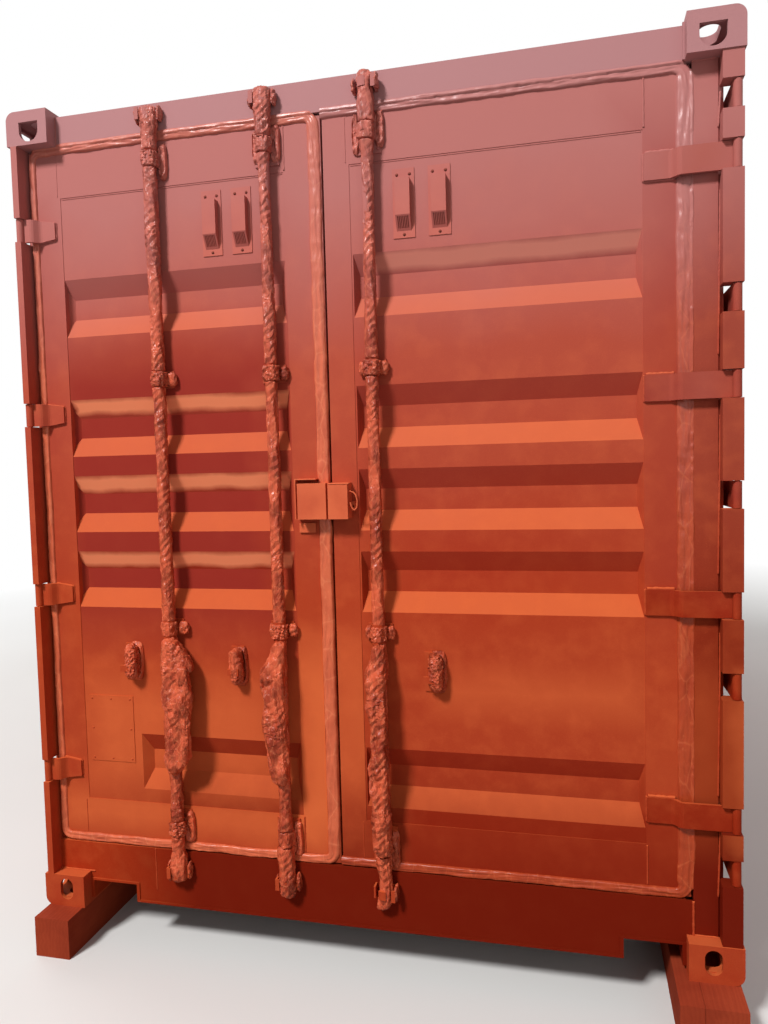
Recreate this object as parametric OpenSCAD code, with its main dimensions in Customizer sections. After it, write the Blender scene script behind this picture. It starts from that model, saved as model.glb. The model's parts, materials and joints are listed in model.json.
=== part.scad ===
// Shipping container, 20 ft high cube with an open side: two end doors with lock rods on the
// front, four folding leaves along the right side, on four timber blocks.
// Front (end doors) faces -Y, the folding side faces +X, +Z is up, origin on the ground centre.

/* [Overall] */
// length over the corner castings
length = 6058; // [5400:1:6600]
// width over the corner castings
wid = 2438; // [2300:1:2600]
// height over the corner castings
hgt = 2896; // [2820:1:3000]
// height of the timber blocks
block_h = 145; // [80:1:250]
// width of a single timber block
block_w = 138; // [100:1:140]
// length of the timber blocks
block_l = 600; // [300:5:1200]
// how far a single block stands out in front of its casting
block_out = 88; // [0:1:200]
// distance of the single blocks from the side face
block_in = 14; // [5:1:20]
// width of the outer timber of a pair
pair_w = 121; // [100:1:140]
// width of the inner timber of a pair
pair_inner_w = 70; // [50:1:100]
// how far a pair stands out in front of its casting
pair_out = 120; // [0:1:200]
// distance of the pairs from the side face
pair_in = 11; // [5:1:20]

/* [Corner castings] */
// casting length, along the container
cast_l = 178; // [170:1:190]
// casting width, across the container
cast_w = 162; // [155:1:170]
// casting height
cast_h = 118; // [112:1:125]
// wall of the castings
cast_t = 14; // [10:1:20]
// thickness of the slotted plate of the castings
cast_plate = 28; // [24:1:30]
// length of a twistlock slot
slot_l = 124.5; // [110:0.5:130]
// width of a twistlock slot
slot_w = 63.5; // [55:0.5:66]
// slot centre from the end face
slot_in_y = 102.5; // [98:0.5:104]
// slot centre from the side face
slot_in_x = 89.5; // [85:0.5:92]
// rounding of the outer long edge of the castings
cast_r = 32; // [10:1:40]
// width of the upper end holes
hole_w = 76; // [60:1:80]
// centre of the upper holes above the casting's underside
hole_z = 45; // [40:1:50]
// height of the upper end holes
hole_h = 68; // [50:1:72]
// width of the lower oval holes
oval_w = 52; // [40:1:60]
// height of the lower oval holes
oval_h = 79; // [62:1:80]
// centre of the lower holes above the feet
oval_z = 65; // [60:1:68]

/* [End frame] */
// recess of header, sill and posts behind the casting faces
frame_d = 51; // [46:0.5:53]
// plate thickness of header, sill and rails
plate_t = 6; // [4:0.5:10]
// drop of header, top rails and roof below the tops of the castings
rail_drop = 14; // [11:1:26]
// depth of the header and sill channels, along the container
end_w = 100; // [80:1:120]
// width of the bottom rails and of the left top rail
rail_w = 60; // [50:1:70]
// height of the left top rail
left_rail_h = 60; // [50:1:100]
// width of the rear left post
rear_post_w = 110; // [90:1:130]
// underside of the sill and of the bottom rails
sill_bottom = 18; // [12:1:40]
// top of the sill and of the bottom rails
sill_top = 228; // [215:1:230]
// height of the sill notches next to the castings
notch_top = 84; // [60:1:110]
// length of the sill notches
notch_l = 190; // [120:1:240]
// thickness of the plates that line the sill notches
notch_t = 12; // [6:1:16]
// how far the lip of the sill stands out
lip_out = 4; // [2:1:6]
// distance of the hinge pins from both outer faces
pin_in = 21; // [20:0.5:22]
// hinge pin radius
pin_r = 8; // [6:0.5:8.5]
// length of a pin inside the post above and below its gap
pin_grip = 18; // [12:1:25]
// running clearance of a hinge bore
pin_gap = 0.4; // [0.2:0.1:1]
// knuckle radius
knuckle_r = 13; // [11.5:0.5:14]
// height of a hinge blade
hinge_h = 80; // [60:1:84]
// thickness of a hinge blade on its leaf
hinge_t = 10; // [8:1:12]
// height of a left hinge blade at its end
hinge_end_h = 58; // [50:1:84]
// reach of a left hinge blade over its leaf
reach_left = 72; // [50:1:84]
// reach of a right hinge blade over its leaf
reach_right = 92; // [60:1:94]
// clearance above and below a hinge blade
hinge_gap = 2; // [1:0.5:4]
// lowest end door hinge above the casting feet
hinge_low = 511; // [500:1:530]
// uppermost end door hinge below the casting tops
hinge_high = 408; // [398:1:418]
// lowest side door hinge above the casting feet
side_hinge_low = 348; // [335:1:360]
// uppermost side door hinge below the casting tops
side_hinge_high = 240; // [230:1:250]
// width of the corner bars of the right posts
bar_w = 59; // [54:1:62]
// recess of the corner bars behind both faces
bar_in = 5; // [4:1:6]
// width of the faces of the right posts
post_face = 72; // [60:1:80]
// clearance between the gasket lip and the right posts
lip_gap = 6; // [5:1:10]
// outer strip of the left post
strip_w = 24; // [20:1:26]
// recess of the left strip behind the side face
strip_in = 13; // [9:1:14]

/* [Doors] */
// recess of the door faces behind the casting faces
door_d = 60; // [58:0.5:66]
// thickness of a door leaf frame
leaf_t = 50; // [44:1:56]
// gap between the leaves and the header
top_gap = 24; // [24:1:36]
// bottom of the door leaves
leaf_bottom = 262; // [260:1:280]
// hinge edge of the left leaf from the side face
left_edge = 69; // [68:1:76]
// hinge edge of the right leaf from the side face
right_edge = 186; // [184:1:190]
// free edge of the left leaf from the middle
left_free = 118; // [112:1:124]
// free edge of the right leaf from the middle
right_free = 66; // [56:1:66]
// width of the hinge stiles
stile_w = 94; // [80:1:100]
// width of the stiles at the middle joint
mid_stile_w = 88; // [70:1:90]
// height of the top rail of a leaf
top_rail_h = 152; // [100:1:160]
// height of the bottom rail of a leaf
low_rail_h = 134; // [100:1:150]
// width of the gasket lip
gasket_w = 26; // [20:1:27]
// width of the gasket lip over the top rail
gasket_top = 18; // [12:1:19]
// width of the gasket lip along the corner bars
gasket_right = 39; // [30:1:41]
// gap between the left leaf's gasket lip and the right leaf
mid_gap = 7; // [6:1:12]
// gasket thickness
gasket_t = 14; // [8:1:16]
// sheet thickness of panels, walls and roof
sheet_t = 2; // [1.5:0.1:4]
// set-back of the panel behind the leaf frame
panel_in = 2; // [0:0.5:4]
// depth of the pressed bands
band_d = 34; // [25:1:38]
// height of a band at its mouth
band_h = 206; // [190:1:230]
// run of the sloping ends of the bands
band_end = 46; // [30:1:60]
// how far the band ends reach in under the hinge stile of the left leaf
band_under = 28; // [0:1:30]
// height of the slope of a band
band_slope = 67; // [50:1:80]
// top of the uppermost band below the top of the leaf
band_drop = 442; // [430:1:450]
// distance from the uppermost band to the next one
band_upper = 431; // [420:1:440]
// spacing of the three middle bands
band_pitch = 277; // [265:1:285]
// top of the lowest band above the casting feet
band_low = 653; // [645:1:665]

/* [Lock rods] */
// radius of the lock rods
rod_r = 17; // [14:0.5:17.5]
// depth of the rod axis behind the casting faces
rod_d = 28; // [26:0.5:28.5]
// place of rod 1 from the middle
rod_1_x = -677; // [-700:1:-650]
// place of rod 2 from the middle
rod_2_x = -260; // [-275:1:-245]
// place of rod 3 from the middle
rod_3_x = 90; // [85:1:110]
// running clearance of the rods in their brackets
rod_gap = 0.5; // [0.3:0.1:1]
// cam centres above the lower edge of the header
cam_up = 56; // [47:1:67]
// cam centres at the sill
cam_low_z = 165; // [150:1:180]
// radius of the cams
cam_l = 28; // [26:1:30]
// height of a cam
cam_h = 30; // [20:1:40]
// clearance between a cam and its keeper
cam_gap = 5; // [5:0.5:6]
// height of the handle pivots
handle_z = 925; // [900:1:950]
// length of a handle from pivot to tip
handle_l = 350; // [300:1:352]
// distance of the handle pivot from the rod axis
pivot_out = 32; // [31.5:0.5:34]
// distance of a handle catch from the rod axis
catch_x = 172; // [150:1:200]
// width of a handle bar
handle_w = 26; // [20:1:26]
// thickness of a handle bar
handle_t = 12; // [8:1:14]
// radius of the handle pins
handle_pin_r = 5; // [4:0.5:6]

/* [Door fittings] */
// width of a ventilator plate
vent_w = 72; // [60:1:90]
// height of a ventilator plate
vent_h = 220; // [180:1:240]
// projection of a ventilator hood
vent_out = 26; // [18:1:30]
// width of a ventilator hood
vent_hood_w = 48; // [40:1:56]
// ventilator centres below the top of the leaf
vent_drop = 295; // [285:1:310]
// nearer left ventilator from the middle stile
vent_left = 155; // [120:1:200]
// spacing of the left ventilators
vent_left_pitch = 109; // [90:1:130]
// nearer right ventilator from the middle stile
vent_right = 181; // [160:1:220]
// spacing of the right ventilators
vent_right_pitch = 117; // [90:1:130]
// width of the data plate
plate_w = 180; // [120:1:190]
// height of the data plate
plate_h = 248; // [160:1:260]
// middle height of the data plate
plate_z = 667; // [640:1:700]
// distance of the data plate from the hinge stile
plate_in = 20; // [10:1:40]
// height of the lock box
box_h = 120; // [90:1:150]
// middle height of the lock box
box_z = 1501; // [1480:1:1520]
// projection of the lock box from the door face
box_out = 57; // [45:1:58]
// end of the lock box to the right of the middle
box_right = 2; // [-5:1:10]
// end of the lock box to the left of the middle
box_left = 173; // [165:1:190]

/* [Walls and floor] */
// recess of the left wall behind the side face
wall_in = 22; // [20:1:30]
// depth of the left wall corrugation
wall_d = 36; // [25:1:40]
// pitch of the left wall corrugation
wall_pitch = 278; // [250:1:300]
// recess of the rear wall behind the casting faces
rear_in = 16; // [10:1:24]
// depth of the rear wall corrugation
rear_wall_d = 45; // [30:1:50]
// pitch of the rear wall corrugation
rear_pitch = 250; // [220:1:280]
// depth of the roof corrugation
roof_d = 20; // [12:1:24]
// pitch of the roof corrugation
roof_pitch = 209; // [190:1:230]
// thickness of the floor board
floor_t = 28; // [21:1:30]
// depth of the cross members
beam_h = 122; // [100:1:140]
// width of the cross members
beam_w = 45; // [40:1:60]
// plate of the cross members
beam_t = 4; // [3:0.5:6]
// spacing of the cross members
beam_pitch = 300; // [280:1:320]
// spacing of the two fork pockets
pocket_span = 2050; // [2040:1:2060]
// width of a fork pocket
pocket_w = 360; // [340:1:370]
// height of a fork pocket
pocket_h = 115; // [105:1:125]

/* [Side doors] */
// gap at a folding joint between two leaves
fold_gap = 20; // [16:1:26]
// gap at the middle joint of the side doors
side_mid_gap = 52; // [48:1:60]
// distance of a side door rod from its leaf edge
side_rod_in = 190; // [175:1:230]
// width of the plates of a folding hinge
fold_plate = 80; // [60:1:86]

/* [Hidden] */
$fn = 40;
eps = 0.01;
hx = wid/2;
hy = length/2;
yf = -hy;
steel = [0.62, 0.2, 0.1];
dark_red = [0.5, 0.16, 0.09];
rubber_red = [0.66, 0.24, 0.13];
timber = [0.5, 0.2, 0.13];
floor_tan = [0.55, 0.38, 0.22];
door_y = yf + door_d;
l_x0 = -hx + left_edge;
l_x1 = -left_free;
r_x0 = -right_free;
r_x1 = hx - right_edge;
pin_x = hx - pin_in;
pin_y = yf + pin_in;
post_x0 = r_x1 + gasket_right + lip_gap;
gasket_mid = left_free - right_free - mid_gap;
post_x1 = post_x0 + post_face;
post_z0 = cast_h;
post_z1 = hgt - cast_h;
header_z = post_z1;
rail_top = hgt - rail_drop;
leaf_top = header_z - top_gap;
hinge_pitch = (hgt - hinge_high - hinge_low)/3;
side_hinge_pitch = (hgt - side_hinge_high - side_hinge_low)/4;
end_zs = [for (i = [0:3]) hinge_low + i*hinge_pitch];
side_zs = [for (i = [0:4]) side_hinge_low + i*side_hinge_pitch];
in_x0 = -hx + strip_in + 4 + rail_w;
in_x1 = hx - frame_d - rail_w;
in_y = hy - frame_d - end_w;
web_x0 = -hx + strip_in + 4 + plate_t;
web_x1 = hx - frame_d - plate_t;
left_rail_z = rail_top - left_rail_h;
rear_post_x = -hx + strip_in + rear_post_w;
floor_top = sill_top - 2;
beam_top = floor_top - floor_t;
pocket_z = sill_bottom + plate_t;
notch_h = hinge_h + 2*hinge_gap;
panel_y = door_y + panel_in;
band_1 = leaf_top - band_drop;
band_2 = band_1 - band_upper;
band_tops = [band_1, band_2, band_2 - band_pitch, band_2 - 2*band_pitch, band_low];
vent_z = leaf_top - vent_drop;
plate_x = l_x0 + stile_w + plate_in + plate_w/2;
cam_top_z = header_z + cam_up;
rod_y = yf + rod_d;
rods_x = [rod_1_x, rod_2_x, rod_3_x];
rods_s = [-1, -1, 1];
bracket_zs = [leaf_bottom + 63, band_tops[3] - band_h - 66, band_2 + 54, leaf_top - 69];
side_y0 = yf + right_edge;
side_y1 = hy - right_edge;
side_leaf = (side_y1 - side_y0 - 2*fold_gap - side_mid_gap)/4;
side_ys = [side_y0, side_y0 + side_leaf + fold_gap,
    side_y0 + 2*side_leaf + fold_gap + side_mid_gap,
    side_y0 + 3*side_leaf + 2*fold_gap + side_mid_gap];

// everything but the blocks stands on the blocks
module raised() translate([0, 0, block_h]) children();
// box between two corners
module bx(a, b) translate(a) cube([b[0] - a[0], b[1] - a[1], b[2] - a[2]]);
// upright plan outline between two heights
module slab_z(z0, z1) translate([0, 0, z0]) linear_extrude(z1 - z0) children();
// upright oval hole through a plate, its axis along Y
module oval_y(w, h, t) rotate([-90, 0, 0]) linear_extrude(t) union() {
    translate([0, (h - w)/2]) circle(d = w);
    translate([0, -(h - w)/2]) circle(d = w);
    square([w, h - w], center = true);
}
// hole with a flat top and a round bottom, its axis along Y
module shield_y(w, h, t) rotate([-90, 0, 0]) linear_extrude(t) union() {
    intersection() {
        translate([0, h/2 - w/2]) circle(d = w);
        translate([-w, -h/2]) square([2*w, h]);
    }
    translate([-w/2, -h/2]) square([w, h - w/2]);
}

// one corner casting with its outer corner at the origin, reaching to -X, +Y and up;
// top is true for the upper ones, whose slotted plate is on top
module casting(top) {
    pz0 = top ? cast_h - cast_plate : 0;
    difference() {
        translate([0, cast_l, 0]) rotate([90, 0, 0]) linear_extrude(cast_l) difference() {
            translate([-cast_w, 0]) square([cast_w, cast_h]);
            translate([0, top ? cast_h : 0]) mirror([0, top ? 0 : 1]) difference() {
                translate([-cast_r, -cast_r]) square(cast_r + 1);
                translate([-cast_r, -cast_r]) circle(r = cast_r);
            }
        }
        bx([-cast_w + cast_t, cast_t, top ? cast_t : cast_plate],
            [-cast_t, cast_l - cast_t, top ? cast_h - cast_plate : cast_h - cast_t]);
        translate([-slot_in_x, slot_in_y, pz0 - 1]) linear_extrude(cast_plate + 2) union() {
            translate([0, (slot_l - slot_w)/2]) circle(d = slot_w);
            translate([0, -(slot_l - slot_w)/2]) circle(d = slot_w);
            square([slot_w, slot_l - slot_w], center = true);
        }
        if (top) {
            translate([-slot_in_x, -1, hole_z]) shield_y(hole_w, hole_h, cast_t + 2);
            translate([1, cast_l/2, hole_z]) rotate([0, 0, 90]) shield_y(hole_w, hole_h, cast_t + 2);
        } else {
            translate([-slot_in_x, -1, oval_z]) oval_y(oval_w, oval_h, cast_t + 2);
            translate([1, cast_l/2, oval_z]) rotate([0, 0, 90]) oval_y(oval_w, oval_h, cast_t + 2);
        }
    }
}
module four_castings(top) {
    for (mx = [0, 1], my = [0, 1])
        mirror([mx, 0, 0]) mirror([0, my, 0]) translate([hx, -hy, 0]) casting(top);
}
module top_corner_castings() color(steel) raised()
    translate([0, 0, hgt - cast_h]) four_castings(true);
module bottom_corner_castings() color(steel) raised() four_castings(false);

// bore for a hinge pin, long enough for the gap and both grips
module pin_bore(z) translate([0, 0, z - notch_h/2 - pin_grip])
    cylinder(r = pin_r, h = notch_h + 2*pin_grip);

// left post: outer strip notched at the hinges, and the box behind the leaf
module front_left_post() color(steel) raised() {
    difference() {
        union() {
            bx([-hx + strip_in, yf, post_z0], [-hx + strip_in + strip_w, yf + cast_l, post_z1]);
            bx([-hx + strip_in, yf + door_d + leaf_t + 8, post_z0],
                [in_x0, yf + cast_l, post_z1]);
        }
        for (z = end_zs) {
            bx([-hx - 1, yf - 1, z - notch_h/2], [-hx + strip_in + strip_w + 1, yf + 80, z + notch_h/2]);
            translate([-pin_x, pin_y, 0]) pin_bore(z);
        }
    }
}
module rear_left_post() color(steel) raised() difference() {
    bx([-hx + strip_in, hy - cast_l, post_z0], [rear_post_x, hy - 8, post_z1]);
    bx([-hx + wall_in + sheet_t, hy - cast_l - 1, post_z0 - 1],
        [rear_post_x + 1, hy - 60, post_z1 + 1]);
}

// plan of the right post body with its outer corner at the origin, reaching to -X and +Y
module post_plan() {
    a0 = hx - post_x0;
    a1 = hx - post_x1;
    polygon([[-a0, frame_d], [-a1, frame_d], [-frame_d, a1], [-frame_d, a0], [-a0, a0]]);
}
// corner bar of the right posts between two heights
module corner_bar(z0, z1) bx([-bar_in - bar_w, bar_in, z0], [-bar_in, bar_in + bar_w, z1]);
// right post with its outer corner at the origin; zs are the hinge heights
module right_post(zs) difference() {
    union() {
        slab_z(post_z0, post_z1) post_plan();
        corner_bar(post_z0, post_z1);
    }
    for (z = zs) {
        difference() {
            bx([-bar_in - bar_w - 1, 0, z - notch_h/2], [1, bar_in + bar_w + 1, z + notch_h/2]);
            slab_z(z - notch_h, z + notch_h) post_plan();
        }
        translate([-pin_in, pin_in, 0]) pin_bore(z);
    }
}
module front_right_post() color(steel) raised()
    translate([hx, -hy, 0]) right_post(concat(end_zs, side_zs));
module rear_right_post() color(steel) raised()
    mirror([0, 1, 0]) translate([hx, -hy, 0]) right_post(side_zs);

// channel along X with its web at y0, open to +Y
module channel_x(x0, x1, y0, w, z0, z1) {
    bx([x0, y0, z0], [x1, y0 + plate_t, z1]);
    bx([x0, y0, z0], [x1, y0 + w, z0 + plate_t]);
    bx([x0, y0, z1 - plate_t], [x1, y0 + w, z1]);
}
module door_header() color(steel) raised() union() {
    channel_x(-hx + cast_w, hx - cast_w, yf + frame_d, end_w, header_z, rail_top);
    bx([hx - cast_w - 6, yf + frame_d - 9, header_z + 4], [hx - cast_w, yf + frame_d, rail_top + 6]);
}
module door_sill() color(steel) raised() difference() {
    union() {
        channel_x(-hx + cast_w, hx - cast_w, yf + frame_d, end_w, sill_bottom, sill_top);
        bx([-hx + strip_in + strip_w, yf + frame_d, cast_h], [post_x0, yf + frame_d + plate_t, sill_top]);
        bx([-hx + strip_in + strip_w, yf + frame_d, sill_top - plate_t],
            [-hx + cast_w, yf + frame_d + plate_t + 60, sill_top]);
        bx([-hx + cast_w, yf + frame_d - lip_out, sill_bottom],
            [hx - cast_w, yf + frame_d + 1, sill_bottom + 8]);
        for (k = [0, 1]) mirror([k, 0, 0]) translate([hx - cast_w - notch_l/2, 0, 0])
            bx([-notch_l/2 - notch_t, yf + frame_d - lip_out, sill_bottom],
                [notch_l/2, yf + frame_d + end_w, notch_top + 8]);
    }
    for (k = [0, 1]) mirror([k, 0, 0]) translate([hx - cast_w - notch_l/2, 0, 0])
        bx([-notch_l/2, yf, sill_bottom - 1],
            [notch_l/2 - notch_t, yf + frame_d + end_w + 1, notch_top]);
}
module rear_end_rails() color(steel) raised() mirror([0, 1, 0]) {
    bx([rear_post_x, yf + frame_d, cast_h], [post_x0, yf + frame_d + plate_t, sill_top]);
    channel_x(-hx + cast_w, hx - cast_w, yf + rear_in, frame_d + end_w - rear_in, header_z, rail_top);
    channel_x(-hx + cast_w, hx - cast_w, yf + rear_in, frame_d + end_w - rear_in,
        sill_bottom, sill_top);
}

// channel along Y with its web towards +X at x1, open to -X
module channel_y(y0, y1, x1, w, z0, z1) {
    bx([x1 - plate_t, y0, z0], [x1, y1, z1]);
    bx([x1 - w, y0, z0], [x1, y1, z0 + plate_t]);
    bx([x1 - w, y0, z1 - plate_t], [x1, y1, z1]);
}
module top_side_rails() color(steel) raised() {
    channel_y(-hy + cast_l, hy - cast_l, hx - frame_d, end_w, header_z, rail_top);
    mirror([1, 0, 0]) channel_y(-hy + cast_l, hy - cast_l, hx - strip_in - 4, rail_w,
        left_rail_z, rail_top);
}
module pocket_cut(x0, x1) for (s = [-1, 1])
    bx([x0, s*pocket_span/2 - pocket_w/2, pocket_z],
        [x1, s*pocket_span/2 + pocket_w/2, pocket_z + pocket_h]);
module bottom_side_rails() color(steel) raised() difference() {
    union() {
        channel_y(-hy + cast_l, hy - cast_l, hx - frame_d, rail_w, sill_bottom, sill_top);
        bx([hx - frame_d - plate_t, -hy + hx - post_x0, cast_h],
            [hx - frame_d, hy - hx + post_x0, sill_top]);
        mirror([1, 0, 0])
            channel_y(-hy + cast_l, hy - cast_l, hx - strip_in - 4, rail_w, sill_bottom, sill_top);
    }
    pocket_cut(-hx, hx);
}

// outline of a trapezoid wave of n periods between u0 and u1, depth d, sheet thickness t
module wave(u0, u1, n, d, t) {
    p = (u1 - u0)/n;
    top = [for (i = [0:n - 1], k = [[0.02, 0], [0.26, 0], [0.5, 1], [0.74, 1], [0.98, 0]])
        [u0 + (i + k[0])*p, k[1]*d]];
    m = 5*n;
    polygon(concat([[u0, 0]], top, [[u1, 0], [u1, t]],
        [for (k = [m - 1:-1:0]) top[k] + [0, t]], [[u0, t]]));
}
// pressed tray between u0..u1 and v0..v1, reaching down from z = 0; e grows it by the sheet
module tray(u0, u1, v0, v1, d, sl, e) {
    w = sl*(d + e)/d;
    intersection() {
        rotate([90, 0, 0]) translate([0, 0, -v1 - 50]) linear_extrude(v1 - v0 + 100)
            polygon([[u0 - 2*e, eps], [u1 + 2*e, eps], [u1 + 2*e - w, -d - e], [u0 - 2*e + w, -d - e]]);
        rotate([90, 0, 90]) translate([0, 0, u0 - 50]) linear_extrude(u1 - u0 + 100)
            polygon([[v0 - 2*e, eps], [v1 + 2*e, eps], [v1 + 2*e - w, -d - e], [v0 - 2*e + w, -d - e]]);
    }
}
module left_wall() color(steel) raised() {
    y0 = yf + cast_l;
    y1 = hy - cast_l;
    translate([-hx + wall_in, 0, 0]) slab_z(sill_top, left_rail_z)
        rotate([0, 0, 90]) mirror([0, 1, 0])
            wave(y0, y1, floor((y1 - y0)/wall_pitch), wall_d, sheet_t);
}
module rear_wall() color(steel) raised() {
    x0 = rear_post_x;
    x1 = post_x0;
    translate([0, hy - frame_d - 4, 0]) slab_z(sill_top, header_z) mirror([0, 1, 0])
        wave(x0, x1, floor((x1 - x0)/rear_pitch), rear_wall_d, sheet_t);
}
module roof() color(steel) raised() {
    x0 = in_x0;
    x1 = hx - frame_d - end_w;
    t0 = -hy + cast_l;
    n = floor(-2*t0/roof_pitch);
    p = -2*t0/n;
    translate([0, 0, rail_top]) difference() {
        union() {
            bx([x0, -in_y, -sheet_t], [x1, in_y, 0]);
            for (i = [0:n - 1]) tray(x0 + 60, x1 - 60, t0 + (i + 0.16)*p, t0 + (i + 0.84)*p,
                roof_d, 30, sheet_t);
        }
        for (i = [0:n - 1]) tray(x0 + 60, x1 - 60, t0 + (i + 0.16)*p, t0 + (i + 0.84)*p,
            roof_d, 30, 0);
        for (mx = [0, 1], my = [0, 1]) mirror([mx, 0, 0]) mirror([0, my, 0])
            bx([hx - cast_w, hy - cast_l, -2*roof_d], [hx, hy, 2*roof_d]);
    }
}
module floor_board() color(floor_tan) raised()
    bx([in_x0, -in_y, beam_top], [in_x1, in_y, floor_top]);
module cross_members() color(dark_red) raised() {
    x0 = web_x0;
    x1 = web_x1;
    zb = beam_top;
    n = floor((length - 2*cast_l - 250)/beam_pitch/2);
    for (i = [-n:n]) {
        y = i*beam_pitch;
        if (abs(abs(y) - pocket_span/2) > pocket_w/2 + beam_w/2 + 10)
            translate([0, y, 0]) {
                bx([x0, -beam_w/2, zb - beam_h], [x1, -beam_w/2 + beam_t, zb]);
                bx([x0, -beam_w/2, zb - beam_h], [x1, beam_w/2, zb - beam_h + beam_t]);
                bx([x0, -beam_w/2, zb - beam_t], [x1, beam_w/2, zb]);
            }
    }
}
module fork_pockets() color(dark_red) raised() {
    x0 = web_x0;
    x1 = web_x1;
    z0 = pocket_z;
    zb = beam_top;
    for (s = [-1, 1]) translate([0, s*pocket_span/2, 0]) {
        bx([x0, -pocket_w/2 - plate_t, z0 + pocket_h], [x1, pocket_w/2 + plate_t, z0 + pocket_h + plate_t]);
        for (k = [-1, 1]) translate([0, k*(pocket_w/2 + plate_t/2), 0])
            bx([x0, -plate_t/2, z0], [x1, plate_t/2, zb]);
    }
}

// pins in the hinge gaps
module pin_set(zs) for (z = zs) pin_bore(z);
module hinge_pins() color(steel) raised() {
    translate([-pin_x, pin_y, 0]) pin_set(end_zs);
    translate([pin_x, pin_y, 0]) pin_set(concat(end_zs, side_zs));
    translate([pin_x, -pin_y, 0]) pin_set(side_zs);
}

// keeper beside a cam that turns towards +X; origin on the rod axis
module keeper_right() {
    dd = frame_d - rod_d;
    r = cam_l + cam_gap;
    lx = cam_l*sin(45) + cam_gap;
    ly = sqrt(r*r - lx*lx);
    h = cam_h + 10;
    translate([0, 0, -h/2]) {
        bx([rod_r + 7, dd - plate_t, 0], [r + 6, dd, h]);
        bx([r, -ly - 3, 0], [r + 6, dd, h]);
        bx([lx, -ly - 3, 0], [r + 6, -ly, h]);
        bx([-r - 6, -6, 0], [-r, dd, h]);
    }
}
module keeper(s) mirror([s < 0 ? 1 : 0, 0, 0]) keeper_right();
module side_rod_places() for (i = [0:3], k = [0, 1])
    translate([hx - rod_d, side_ys[i] + (k == 0 ? side_rod_in : side_leaf - side_rod_in), 0])
        rotate([0, 0, 90]) mirror([k, 0, 0]) children();
module cam_keepers() color(steel) raised() {
    for (i = [0:2], z = [cam_low_z, cam_top_z]) translate([rods_x[i], rod_y, z]) keeper(rods_s[i]);
    side_rod_places() for (z = [cam_low_z, cam_top_z]) translate([0, 0, z]) keeper(1);
}

// a single timber under each left casting, a pair of timbers under each right one
module support_blocks() color(timber) for (my = [0, 1]) mirror([0, my, 0]) {
    bx([-hx + block_in, -hy - block_out, 0],
        [-hx + block_in + block_w, -hy - block_out + block_l, block_h]);
    bx([hx - pair_in - pair_w, -hy - pair_out, 0], [hx - pair_in, -hy - pair_out + block_l, block_h]);
    bx([hx - pair_in - pair_w - 1 - pair_inner_w, -hy - pair_out, 0],
        [hx - pair_in - pair_w - 1, -hy - pair_out + block_l, block_h]);
}

// stiles of a leaf between x0 and x1 in the door plane at y = 0
module stiles(x0, x1, w0, w1) {
    bx([x0, 0, leaf_bottom], [x0 + w0, leaf_t, leaf_top]);
    bx([x1 - w1, 0, leaf_bottom], [x1, leaf_t, leaf_top]);
}
// rails of a leaf between x0 and x1, channels open to the inside
module rails(x0, x1) for (z = [[leaf_top - top_rail_h, leaf_top],
    [leaf_bottom, leaf_bottom + low_rail_h]]) difference() {
        bx([x0, 0, z[0]], [x1, leaf_t, z[1]]);
        bx([x0 - 1, plate_t, z[0] + plate_t], [x1 + 1, leaf_t + 1, z[1] - plate_t]);
    }
// tray shape of one pressed band, reaching back from y = 0; e grows it by the sheet
module band(x0, x1, zt, sl, sr, e) {
    d = band_d + e;
    k = band_slope/band_d;
    intersection() {
        rotate([90, 0, 90]) translate([0, 0, x0 - 50]) linear_extrude(x1 - x0 + 100)
            polygon([[-eps, zt + 2*e], [d, zt + 2*e - k*d],
                [d, zt - band_h - 2*e + k*d], [-eps, zt - band_h - 2*e]]);
        translate([0, 0, zt - band_h - 50]) linear_extrude(band_h + 100)
            polygon([[x0 - e, -eps], [x1 + e, -eps], [x1 + e - sr*d/band_d, d], [x0 - e + sl*d/band_d, d]]);
    }
}
// the five bands of a leaf, from b0 to b1; the lowest one starts at low0
module bands(b0, b1, low0, sl, sr, low_sl, e) for (i = [0:4])
    band(i == 4 ? low0 : b0, b1, band_tops[i], i == 4 ? low_sl : sl, sr, e);
// panel sheet between x0 and x1, cut off square at the stiles
module panel(x0, x1, b0, b1, low0, sl, sr, low_sl) {
    difference() {
        union() {
            bx([x0, 0, leaf_bottom + low_rail_h], [x1, sheet_t, leaf_top - top_rail_h]);
            bands(b0, b1, low0, sl, sr, low_sl, sheet_t);
        }
        translate([0, -eps, 0]) bands(b0, b1, low0, sl, sr, low_sl, 0);
        bx([x0 - 1, -1, leaf_bottom], [x1 + 1, 0, leaf_top]);
        for (x = [x0 - 100, x1])
            bx([x, -1, leaf_bottom], [x + 100, 2*band_d, leaf_top]);
    }
}
// gasket strips round a leaf from x0 to x1, g0 and g1 wide at its two edges
module gasket(x0, x1, g0, g1) {
    bx([x0 - g0, 0, leaf_bottom - gasket_w], [x0, gasket_t, leaf_top + gasket_top]);
    bx([x1, 0, leaf_bottom - gasket_w], [x1 + g1, gasket_t, leaf_top + gasket_top]);
    bx([x0 + 0.5, 0, leaf_bottom - gasket_w], [x1 - 0.5, gasket_t, leaf_bottom]);
    bx([x0 + 0.5, 0, leaf_top], [x1 - 0.5, gasket_t, leaf_top + gasket_top]);
}
// hinge blade in plan: pin at the origin, blade to +X, leaf face at depth f, leaf edge at e
module blade(e, f, reach) difference() {
    union() {
        circle(r = knuckle_r);
        polygon([[0, 3], [e - 14, 3], [e - 7, 5], [e - 1, 9], [e + 10, f - 16], [e + 15, f - 12],
            [e + 21, f - hinge_t], [reach, f - hinge_t], [reach, f], [e + 10, f], [e + 3, f - 6],
            [e - 11, 13], [0, 13]]);
    }
    circle(r = pin_r + pin_gap);
}
module blades(e, f, reach, zs) for (z = zs)
    slab_z(z - hinge_h/2, z + hinge_h/2) blade(e, f, reach);

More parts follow.
